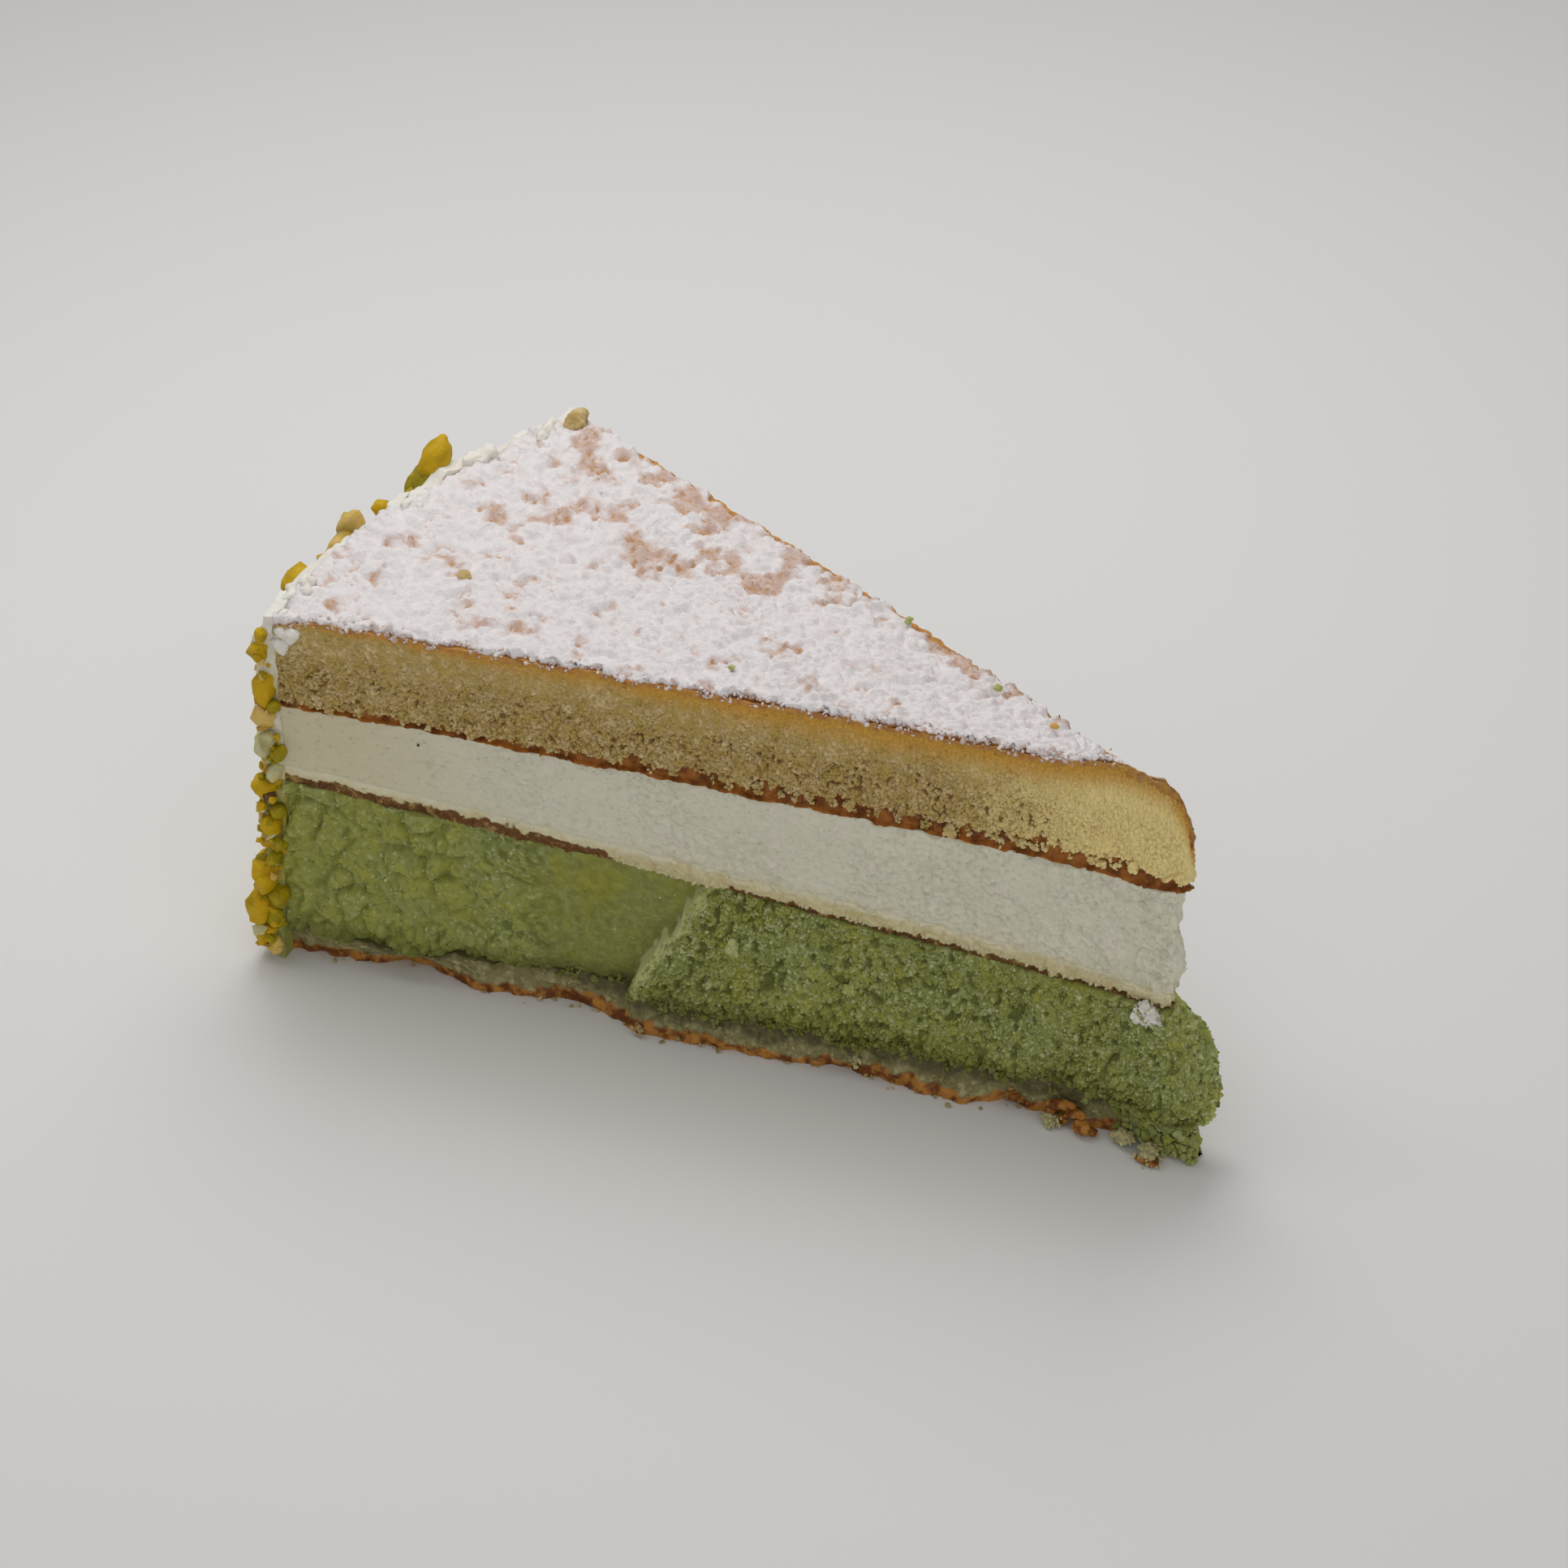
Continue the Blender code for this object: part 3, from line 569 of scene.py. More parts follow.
class Layer:
    """One layer of the slice: its surfaces, its rounded point, the relief of its cut and its grid."""

    def __init__(self, name, below, above, reach, point_radius, cut, grid):
        self.name, self.below, self.above = name, below, above
        self.reach, self.point_radius, self.cut = reach, point_radius, cut
        self.columns, self.across, self.rows = grid

    def place(self, sizes, along, side, up):
        """Where a point of the unit block goes in the slice, and the marks of the cut there."""
        share = even_to_spread(along)
        inner = share * CAKE_RADIUS
        across = side * inner * math.tan(HALF_ANGLE)
        low = 0.0 if self.below == "floor" else surface_height(self.below, inner, across) - LAYER_OVERLAP
        high = surface_height(self.above, inner, across)
        height = low + up * (high - low)
        radius = rim_radius(height)
        rim = math.sqrt(radius**2 - (side * radius * math.sin(HALF_ANGLE)) ** 2)
        reach = self.reach(height)
        length = POINT_START + share * (rim + reach - POINT_START)
        if self.cut is pistachio_cut and side < 0:
            length += along_ridge(length - reach, height)
        from_apex = length - reach
        width = half_width(length, reach, self.point_radius)
        if self.above == "sponge_top":
            corner = past(-side, 1 - CORNER_WIDTH, CORNER_WIDTH)
            corner *= past(from_apex, CORNER_START, CORNER_LENGTH)
            height -= (crust_drop(length, side) + CORNER_DROP * corner) * up**3
            high -= crust_drop(length, side)
        edge = math.copysign(1, side)
        place = APEX + Vector((-from_apex, edge * width, height))
        fall, rise = high - height, height - low
        if along < AT_POINT and abs(side) < AT_EDGE:
            place.y = APEX.y + side * width
            out, *look = self.cut(sizes, -1, from_apex, place, fall, rise)
            return place + Vector((out, 0, 0)), Marks(fall / MM, rise / MM, *look)
        step = 0.2 * MM
        wider = half_width(length + step, reach, self.point_radius) - width
        outward = Vector((wider, math.copysign(step, side), 0)).normalized()
        out, *look = self.cut(sizes, edge, from_apex, place, fall, rise)
        place += outward * out
        if abs(side) < AT_EDGE:
            place.y = APEX.y + (place.y - APEX.y) * abs(side)
        return place, Marks(fall / MM, rise / MM, *look)

    def spot(self, sizes, side, from_apex, height):
        """The place and marks on the cut at a distance from the apex and a height."""
        reach = self.reach(height)
        if self.cut is pistachio_cut and side < 0:
            from_apex -= along_ridge(from_apex, height)
        along = spread_to_even((from_apex + reach - POINT_START) / (CAKE_RADIUS + reach - POINT_START))
        across = side * max(0.0, from_apex) * math.tan(HALF_ANGLE)
        low = 0.0 if self.below == "floor" else surface_height(self.below, from_apex, across)
        high = surface_height(self.above, from_apex, across)
        return self.place(sizes, along, side, min(1.0, max(0.0, (height - low) / (high - low))))


LAYERS = {
    layer.name: layer
    for layer in (
        Layer("base_sponge", "floor", "base_top", steady_reach(5.6 * MM), 2.6 * MM, base_cut,
              (300, 8, 16)),
        Layer("pistachio_cream", "base_top", "pistachio_top", nose_reach, 4.2 * MM, pistachio_cut,
              (340, 10, 52)),
        Layer("sponge_disc", "pistachio_top", "disc_top", steady_reach(0.4 * MM), 1.5 * MM, disc_cut,
              (380, 6, 9)),
        Layer("ricotta_cream", "disc_top", "ricotta_top", steady_reach(0.8 * MM), 1.8 * MM, ricotta_cut,
              (330, 6, 34)),
        Layer("top_sponge", "ricotta_top", "sponge_top", steady_reach(1.8 * MM), 0.9 * MM, sponge_cut,
              (390, 8, 46)),
    )
}


def unit_block(columns, across, rows, fine_front=False):
    """A closed block from 0 to 1 along X, -1 to 1 across Y and 0 to 1 up Z, cut into a grid that is twice
    as fine on the front if asked."""
    block = bmesh.new()
    bmesh.ops.create_grid(block, x_segments=columns, y_segments=across, size=1.0)
    bmesh.ops.translate(block, verts=block.verts, vec=(1, 0, 0))
    bmesh.ops.scale(block, verts=block.verts, vec=(0.5, 1, 1))
    raised = bmesh.ops.extrude_face_region(block, geom=block.faces[:])["geom"]
    lifted = [item for item in raised if isinstance(item, bmesh.types.BMVert)]
    bmesh.ops.translate(block, verts=lifted, vec=(0, 0, 1))
    upright = [edge for edge in block.edges if abs(edge.verts[0].co.z - edge.verts[1].co.z) > 0.5]
    bmesh.ops.subdivide_edges(block, edges=upright, cuts=rows - 1, use_grid_fill=True)
    if fine_front:
        front = [edge for edge in block.edges if max(vertex.co.y for vertex in edge.verts) < -AT_EDGE]
        bmesh.ops.subdivide_edges(block, edges=front, cuts=1, use_grid_fill=True)
    bmesh.ops.recalc_face_normals(block, faces=block.faces)
    for vertex in block.verts:
        vertex.co = [round(part, 6) for part in vertex.co]
    for edge in block.edges:
        edge.smooth = edge.calc_face_angle() < SHARP_ANGLE
    return block


def mark_layers(shape):
    """Gives a shape one layer of numbers for each mark."""
    return Marks(*(shape.verts.layers.float.new(mark) for mark in Marks._fields))


def finished_piece(name, shape, material, node, smooth=True):
    """Turns a bmesh into a piece of the slice that rides with it and stands for a node."""
    for face in shape.faces:
        face.smooth = smooth
    mesh = bpy.data.meshes.new(name)
    shape.to_mesh(mesh)
    shape.free()
    mesh.materials.append(material)
    piece = bpy.data.objects.new(name, mesh)
    bpy.context.scene.collection.objects.link(piece)
    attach(piece, "root")
    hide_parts(node)
    return piece


class Scatter:
    """Many crumbs in one mesh, each a small angular ball of twenty faces with its own marks."""

    def __init__(self, name):
        self.name = name
        ball = bmesh.new()
        bmesh.ops.create_icosphere(ball, subdivisions=1, radius=1.0)
        self.corners = [vertex.co.copy() for vertex in ball.verts]
        self.ball_faces = [[vertex.index for vertex in face.verts] for face in ball.faces]
        ball.free()
        self.draw = random.Random(SCATTER_SEEDS[name])
        self.places, self.faces, self.marks = [], [], []

    def add(self, middle, radius, marks, lowest=0.02 * MM):
        draw, first = self.draw, len(self.places)
        turn = Euler([draw.uniform(0, math.tau) for _ in range(3)]).to_matrix()
        stretch = Vector([radius * draw.uniform(0.5, 1.45) for _ in range(3)])
        for corner in self.corners:
            place = middle + turn @ (corner * stretch) * draw.uniform(0.6, 1.35)
            place.z = max(place.z, lowest)
            self.places.append(place)
        self.faces += [[first + corner for corner in face] for face in self.ball_faces]
        self.marks += [marks] * len(self.corners)

    def cluster(self, middle, size, count, radii, marks):
        """A clump of crumbs: size is how far it reaches along X, Y and Z from its middle."""
        for _ in range(count):
            away = Vector([self.draw.gauss(0, 0.42) for _ in range(3)])
            self.add(middle + away * Vector(size), self.draw.uniform(*radii), marks)

    def piece(self, material, node):
        """Joins the crumbs into one piece."""
        mesh = bpy.data.meshes.new(self.name)
        mesh.from_pydata(self.places, [], self.faces)
        shape = bmesh.new()
        shape.from_mesh(mesh)
        bpy.data.meshes.remove(mesh)
        for mark, values in zip(mark_layers(shape), zip(*self.marks)):
            for vertex, value in zip(shape.verts, values):
                vertex[mark] = value
        return finished_piece(self.name, shape, material, node, smooth=False)


def rim_place(angle, radius, height):
    """A place on the rim, by its angle round from the middle of the rim and its distance from the apex."""
    return APEX + Vector((-radius * math.cos(angle), radius * math.sin(angle), height))


# Shaders ------------------------------------------------------------------------------------------


class Wire:
    """An output socket that takes part in Python arithmetic by adding Math nodes."""

    def __init__(self, finish, socket):
        self.finish, self.socket = finish, socket

    def maths(self, operation, *others):
        values = dict(enumerate((self, *others)))
        return self.finish.node("ShaderNodeMath", {"operation": operation}, values)

    def __add__(self, other):
        return self.maths("ADD", other)

    __radd__ = __add__

    def __mul__(self, other):
        return self.maths("MULTIPLY", other)

    __rmul__ = __mul__

    def __sub__(self, other):
        return self.maths("SUBTRACT", other)

    def __rsub__(self, other):
        return (self * -1) + other

    def __truediv__(self, other):
        return self.maths("DIVIDE", other)

    def limited(self, low, high):
        """0 at low and below, 1 at high and above, with a soft rise between."""
        settings = {"interpolation_type": "SMOOTHSTEP"}
        return self.finish.node(
            "ShaderNodeMapRange", settings, {"Value": self, "From Min": low, "From Max": high}
        )


class Finish:
    """A procedural material, on object coordinates in metres."""

    def __init__(self, name, roughness, subsurface=0.0, radius=(1.0, 0.6, 0.3), scale=0.001):
        self.material = bpy.data.materials.new(name)
        self.material.use_nodes = True
        self.tree = self.material.node_tree
        self.surface = self.tree.nodes["Principled BSDF"]
        self.surface.inputs["Roughness"].default_value = roughness
        self.surface.inputs["Specular IOR Level"].default_value = 0.3
        self.surface.inputs["Subsurface Weight"].default_value = subsurface
        self.surface.inputs["Subsurface Radius"].default_value = radius
        self.surface.inputs["Subsurface Scale"].default_value = scale
        coordinates = self.tree.nodes.new("ShaderNodeTexCoord")
        self.place = Wire(self, coordinates.outputs["Object"])

    def node(self, kind, settings=None, inputs=None, output=0):
        """Adds a node: first its settings, then the values or wires of its sockets."""
        made = self.tree.nodes.new(kind)
        for key, value in (settings or {}).items():
            setattr(made, key, value)
        for key, value in (inputs or {}).items():
            self.feed(made.inputs[key], value)
        return Wire(self, made.outputs[output])

    def feed(self, socket, value):
        if isinstance(value, Wire):
            self.tree.links.new(value.socket, socket)
        elif socket.type == "RGBA":
            socket.default_value = (*value[:3], 1.0)
        else:
            socket.default_value = value

    def mark(self, name):
        """A mark that the mesh carries at every vertex."""
        return self.node("ShaderNodeAttribute", {"attribute_name": name}, output="Fac")

    def noise(self, length, detail=2.0, roughness=0.5, stretch=(1, 1, 1)):
        """Soft noise from 0 to 1 whose features are about the given length."""
        place = self.place
        if stretch != (1, 1, 1):
            place = self.node("ShaderNodeMapping", None, {"Vector": place, "Scale": stretch})
        inputs = {"Vector": place, "Scale": 1 / length, "Detail": detail, "Roughness": roughness}
        return self.node("ShaderNodeTexNoise", None, inputs)

    def along(self):
        """How far along the slice a place is, towards the point, in metres."""
        return self.node("ShaderNodeSeparateXYZ", None, {"Vector": self.place}, "X")

    def mix(self, share, first, second, blend="MIX"):
        """The first colour where share is 0 and the second where it is 1."""
        made = self.tree.nodes.new("ShaderNodeMix")
        made.data_type, made.blend_type = "RGBA", blend
        self.feed(made.inputs[0], share)
        self.feed(made.inputs[6], first)
        self.feed(made.inputs[7], second)
        return Wire(self, made.outputs[2])

    def done(self, colour, roughness=None, bump=None, bump_height=0.1 * MM):
        self.feed(self.surface.inputs["Base Color"], colour)
        if roughness is not None:
            self.feed(self.surface.inputs["Roughness"], roughness)
        if bump is not None:
            normal = self.node("ShaderNodeBump", None, {"Height": bump, "Distance": bump_height})
            self.feed(self.surface.inputs["Normal"], normal)
        return self.material


def crumb_finish(colours):
    """Yellow crumb with pinholes darkened by their own brown and by painted shade, paler at the point with
    painted light, golden under the browned crust, over the moist dark skin.
    """
    finish = Finish("sponge crumb", 0.75, 0.3, (1.0, 0.7, 0.35), 0.0006)
    fall, pit, brown, tone = (finish.mark(name) for name in ("fall", "pit", "brown", "tone"))
    uneven = finish.noise(5 * MM, 3.0)
    depth = fall + (uneven - 0.5) * 2.0
    crumb = finish.mix(tone, colours.crumb, colours.crumb_light)
    crumb = finish.mix(finish.noise(1.6 * MM, 2.0).limited(0.35, 0.7), crumb, colours.crumb_yellow)
    # Painted light: the crumb is paler towards the point, where the point catches more light
    lit_point = (finish.along() + (uneven - 0.5) * 0.02).limited(26 * MM, 54 * MM) * fall.limited(0.5, 3.5)
    crumb = finish.mix(lit_point * 0.88, crumb, colours.lit_point_crumb)
    band = finish.along().limited(-60 * MM, 30 * MM) * 3.2 + 1.5
    crumb = finish.mix(1 - (depth / band).limited(0.1, 1.1), crumb, colours.golden)
    crust = 1 - (fall + (finish.noise(0.8 * MM, 3.0) - 0.5) * 1.6).limited(0.2, 1.3)
    crust_tone = finish.mix(finish.noise(1.3 * MM, 3.0).limited(0.4, 0.6), colours.crust, colours.crust_edge)
    crumb = finish.mix(crust, crumb, crust_tone)
    # Painted shade in the pores and pits, by the pit mark, partly their own brown
    crumb = finish.mix((pit * 1.1).limited(0.25, 1.0) * 0.85, crumb, colours.pore_brown_and_shade)
    skin = finish.mix(finish.noise(1.8 * MM, 3.0).limited(0.35, 0.65), colours.skin, colours.skin_light)
    colour = finish.mix(brown, crumb, skin)
    bump = finish.noise(0.35 * MM, 3.0, 0.6)
    return finish.done(colour, 0.8 - brown * 0.35, bump, 0.12 * MM)


def ricotta_finish(colours):
    """Moist off-white cream, a little greyer and greener in the cracks, crags and creases as painted shade.
    """
    finish = Finish("ricotta cream", 0.5, 0.35, (1.0, 0.9, 0.7), 0.0008)
    pit, rise = finish.mark("pit"), finish.mark("rise")
    cloud = finish.noise(9 * MM, 2.0, 0.5, (0.35, 0.35, 1.0)).limited(0.3, 0.7)
    colour = finish.mix(cloud, colours.ricotta, colours.ricotta_shade)
    rosy = finish.noise(3.5 * MM, 2.0).limited(0.5, 0.66) * 0.5
    colour = finish.mix(rosy, colour, colours.ricotta_rosy)
    colour = finish.mix(finish.along().limited(-22 * MM, -50 * MM), colour, colours.ricotta_rim)
    fleck = finish.noise(0.8 * MM, 2.0, 0.6).limited(0.62, 0.75) * 0.35
    colour = finish.mix(fleck, colour, colours.ricotta_shade)
    # Painted shade in the cracks, crags and creases, by the pit mark
    colour = finish.mix(pit * 0.35, colour, colours.ricotta_crack_shade)
    stained = 1 - (rise + (finish.noise(1.8 * MM, 3.0) - 0.5) * 2.4).limited(-1.6, 1.6)
    colour = finish.mix(stained, colour, colours.disc_light)
    # Lumps with a very high fall take the whiter coat colour: partly their own white, partly painted light
    # on their top
    colour = finish.mix(finish.mark("fall").limited(50.0, 80.0), colour, colours.white_coat_and_lit_crumb)
    colour = finish.mix(finish.mark("brown").limited(1.0, 4.0), colour, colours.speck)
    return finish.done(colour, 0.55 + pit * 0.2, finish.noise(0.42 * MM, 5.0, 0.75), 0.11 * MM)


def disc_finish(colours):
    """Pale moist sponge over its dark skin, its pores darkened with painted shade."""
    finish = Finish("sponge disc", 0.75, 0.3, (1.0, 0.8, 0.4), 0.0006)
    pit, brown, tone = finish.mark("pit"), finish.mark("brown"), finish.mark("tone")
    fall = finish.mark("fall") + (finish.noise(1.8 * MM, 3.0) - 0.5) * 2.4
    colour = finish.mix(tone * 0.7, colours.disc, colours.disc_light)
    colour = finish.mix(finish.noise(1.5 * MM, 2.0).limited(0.45, 0.7) * 0.3, colour, colours.crumb_yellow)
    colour = finish.mix(fall.limited(0.2, 1.6), colours.disc_light, colour)
    colour = finish.mix(1 - fall.limited(-1.6, 1.6), colour, colours.ricotta)
    # Painted shade in the pores, by the pit mark
    colour = finish.mix(pit * 0.55, colour, colours.disc_pore_shade)
    patch = finish.noise(1.4 * MM, 4.0, 0.6).limited(0.5, 0.68)
    skin = finish.mix(patch, colours.skin_dark, colours.skin_pale)
    colour = finish.mix(brown, colour, skin)
    return finish.done(colour, 0.8 - brown * 0.25, finish.noise(0.4 * MM, 3.0, 0.6), 0.1 * MM)


def pistachio_finish(colours):
    """Pale sage grains over darker olive, with yellow-green crumbs low down, and painted shade towards the
    bottom of the layer and in the crevices.
    """
    finish = Finish("pistachio cream", 0.7, 0.2, (0.8, 0.9, 0.4), 0.0005)
    pit, tone, low, rise = (finish.mark(name) for name in ("pit", "tone", "brown", "rise"))
    broad = finish.noise(11 * MM, 3.0, 0.55).limited(0.35, 0.68)
    colour = finish.mix(broad * 0.8, colours.green, colours.green_yellow)
    pale = (tone + (finish.noise(0.5 * MM, 2.0) - 0.5) * 0.8).limited(0.42, 1.0)
    colour = finish.mix(pale * 0.75, colour, colours.green_pale)
    colour = finish.mix(low * 0.5, colour, colours.green_bright)
    # Painted shade: darker towards the bottom of the layer, under its overhang, and by the pit in the
    # crevices and the hollow
    shaded = 1 - (rise + (finish.noise(1.5 * MM, 3.0) - 0.5) * 3.0).limited(-0.5, 5.0)
    colour = finish.mix(shaded * 0.7, colour, colours.green_shade)
    deep = (pit + (finish.noise(1.2 * MM, 2.0) - 0.5) * 0.5).limited(0.22, 0.9)
    colour = finish.mix(deep * 0.8, colour, colours.green_shade)
    # The crest is paler: partly its flakes, partly a painted highlight along the ridge
    colour = finish.mix(tone.limited(1.0, 1.9) * 0.7, colour, colours.green_crest_and_highlight)
    return finish.done(colour, 0.6 + tone * 0.2, finish.noise(0.3 * MM, 3.0, 0.65), 0.12 * MM)


def base_finish(colours):
    """Wet crumb, grey-green, and darker with painted shade where it is drawn in under the cream, pale on the
    torn ledge, over a brown skin.
    At the point it is covered with pistachio."""
    finish = Finish("moist base", 0.5, 0.3, (0.9, 0.8, 0.4), 0.0006)
    fall, pit, brown, tone = (finish.mark(name) for name in ("fall", "pit", "brown", "tone"))
    grain = tone.limited(0.0, 1.0)
    shaded_recess = finish.mix(grain, colours.base, colours.base_light)
    ledge = finish.mix(grain, colours.ledge, colours.ledge_light)
    high = fall + (finish.noise(2.5 * MM, 3.0) - 0.5) * 3.0
    high = high + finish.along().limited(-12 * MM, -26 * MM) * 1.8
    # Painted shade: darker near the top of the base, where it is drawn in under the cream; the grey-green is
    # its own
    colour = finish.mix(high.limited(1.6, 3.2), shaded_recess, ledge)
    # Painted shade in the crevices, by the pit mark
    colour = finish.mix(pit * 0.6, colour, colours.base_crevice_shade)
    skin = finish.mix(finish.noise(1.6 * MM, 3.0).limited(0.38, 0.6), colours.skin, colours.skin_orange)
    colour = finish.mix(brown, colour, skin)
    green = finish.mix(finish.noise(0.9 * MM, 2.0).limited(0.4, 0.6), colours.green, colours.green_pale)
    colour = finish.mix(tone.limited(1.2, 2.2), colour, green)
    return finish.done(colour, 0.6 - grain * 0.15, finish.noise(0.4 * MM, 3.0, 0.6), 0.12 * MM)


def icing_finish(colours):
    """White sugar that lets the brown crust show where it is thin, with painted bluish shade in random
    patches.
    """
    finish = Finish("icing sugar on crust", 0.9, 0.15, (1.0, 0.9, 0.8), 0.0005)
    thickness = finish.mark("rise")
    missing = finish.mark("pit")
    sugar = thickness + (finish.noise(0.45 * MM, 4.0, 0.7) - 0.5) * 0.5
    crust = finish.mix(finish.noise(1.6 * MM, 3.0).limited(0.35, 0.68), colours.crust, colours.crust_dark)
    crust = finish.mix(thickness.limited(-0.3, -0.5), crust, colours.crust_edge)
    torn = finish.mix(finish.noise(0.9 * MM, 3.0).limited(0.4, 0.6), colours.crust_edge, colours.golden)
    crust = finish.mix(thickness.limited(-0.6, -1.0), crust, torn)
    veil = finish.mix(sugar.limited(-0.35, 0.0), crust, colours.icing_thin)
    colour = finish.mix(sugar.limited(-0.1, 0.4), veil, colours.icing)
    blotch = (missing * 0.95 + (finish.noise(1.6 * MM, 3.0, 0.6) - 0.5) * 1.3).limited(0.2, 1.1)
    colour = finish.mix(blotch * 0.8, colour, colours.icing_thin)
    dots = (missing * 0.55 + (finish.noise(0.9 * MM, 3.0, 0.6) - 0.5) * 1.7).limited(0.5, 0.85)
    colour = finish.mix(dots * 0.7, colour, colours.crust_edge)
    # Painted shade: bluish grey multiplied in over random patches of the icing
    grey = finish.noise(3.0 * MM, 2.0).limited(0.55, 0.75) * 0.35
    colour = finish.mix(grey, colour, colours.icing_shade, "MULTIPLY")
    return finish.done(colour, 0.9, finish.noise(0.45 * MM, 4.0, 0.7), 0.34 * MM)


def cream_finish(colours):
    """The thin cream of the rim. It takes on the colour of the layer behind it: yellow-green low down, then
    off-white, pale tan beside the top sponge and white along the top."""
    finish = Finish("rim cream", 0.6, 0.4, (1.0, 0.9, 0.6), 0.001)
    height = finish.mark("rise") + (finish.noise(2.5 * MM, 3.0) - 0.5) * 5.0
    patch = finish.noise(3 * MM, 3.0).limited(0.4, 0.62)
    low = finish.mix(patch, colours.green, colours.coat_low)
    colour = finish.mix(height.limited(24.0, 30.0), low, colours.coat_moist)
    colour = finish.mix(height.limited(30.0, 34.0), colour, colours.ricotta)
    beside_sponge = finish.mix(patch, colours.coat_moist, colours.coat)
    colour = finish.mix(height.limited(39.0, 43.0), colour, beside_sponge)
    colour = finish.mix(height.limited(47.0, 51.0), colour, colours.white_coat_and_lit_crumb)
    return finish.done(colour, 0.6, finish.noise(0.6 * MM, 3.0, 0.6), 0.15 * MM)


def nut_finish(colours):
    """Chopped pistachios: yellow-green, olive, mustard and tan pieces, each with its own tone."""
    finish = Finish("chopped pistachio", 0.45, 0.2, (0.7, 0.8, 0.3), 0.001)
    tone, kind = finish.mark("tone"), finish.mark("brown")
    colour = colours.nut_green
    for name in ("mustard", "tan", "mint", "purple"):
        this_kind = kind.limited(KINDS[name], KINDS[name] + 0.01)
        colour = finish.mix(this_kind, colour, getattr(colours, "nut_" + name))
    colour = finish.mix(tone.limited(0.4, 1.0) * 0.55, colour, colours.nut_dark)
    veins = finish.noise(1.3 * MM, 3.0, 0.6).limited(0.45, 0.7) * 0.45
    colour = finish.mix(veins, colour, colours.nut_yellow)
    return finish.done(colour, 0.5 + tone * 0.2, finish.noise(0.8 * MM, 4.0, 0.65), 0.3 * MM)


# Settings -----------------------------------------------------------------------------------------


def length(name, description, default):
    return FloatProperty(name=name, description=description, default=default, unit="LENGTH", precision=5)


def count(name, description, default):
    return IntProperty(name=name, description=description, default=default, min=0)


def colour(name, description, default):
    return FloatVectorProperty(
        name=name, description=description, default=default, subtype="COLOR", size=3, min=0.0, max=1.0
    )


class SliceSizes(bpy.types.PropertyGroup):
    """Sizes of the fine relief."""

    pore_size: length("Pore size", "Size of the small grains of the sponge", 0.55 * MM)
    pore_depth: length("Pore depth", "Depth between the small grains of the sponge", 0.34 * MM)
    smear_depth: length("Smear depth", "Depth of the knife's smears in the ricotta", 0.1 * MM)
    grain_size: length("Grain size", "Size of the grains of the pistachio cream", 0.54 * MM)
    grain_depth: length("Grain depth", "How far the pistachio grains stand out", 0.36 * MM)
    sugar: length("Sugar thickness", "Mean thickness of the icing sugar", 0.72 * MM)
    sponge_grains: count("Sponge grains", "Grains on the cuts of the top sponge", 7000)
    ricotta_grains: count("Ricotta grains", "Grains on the cuts of the ricotta", 2600)
    pistachio_grains: count("Pistachio grains", "Grains on the cuts of the pistachio cream", 8000)
    base_grains: count("Base grains", "Grains on the cuts of the base", 420)
    hanging_clumps: count("Hanging clumps", "Clumps that hang over the edge of a layer", 150)
    sugar_crumbs: count("Sugar crumbs", "Bits of sugar along the edge of the front cut", 900)
    nut_crumbs: count("Nut crumbs", "Small bits of pistachio on the rim", 620)
    nose_crumbs: count("Nose crumbs", "Pistachio crumbs at the foot of the point", 420)
    foot_crumbs: count("Foot crumbs", "Crumbs on the floor along the front cut", 70)


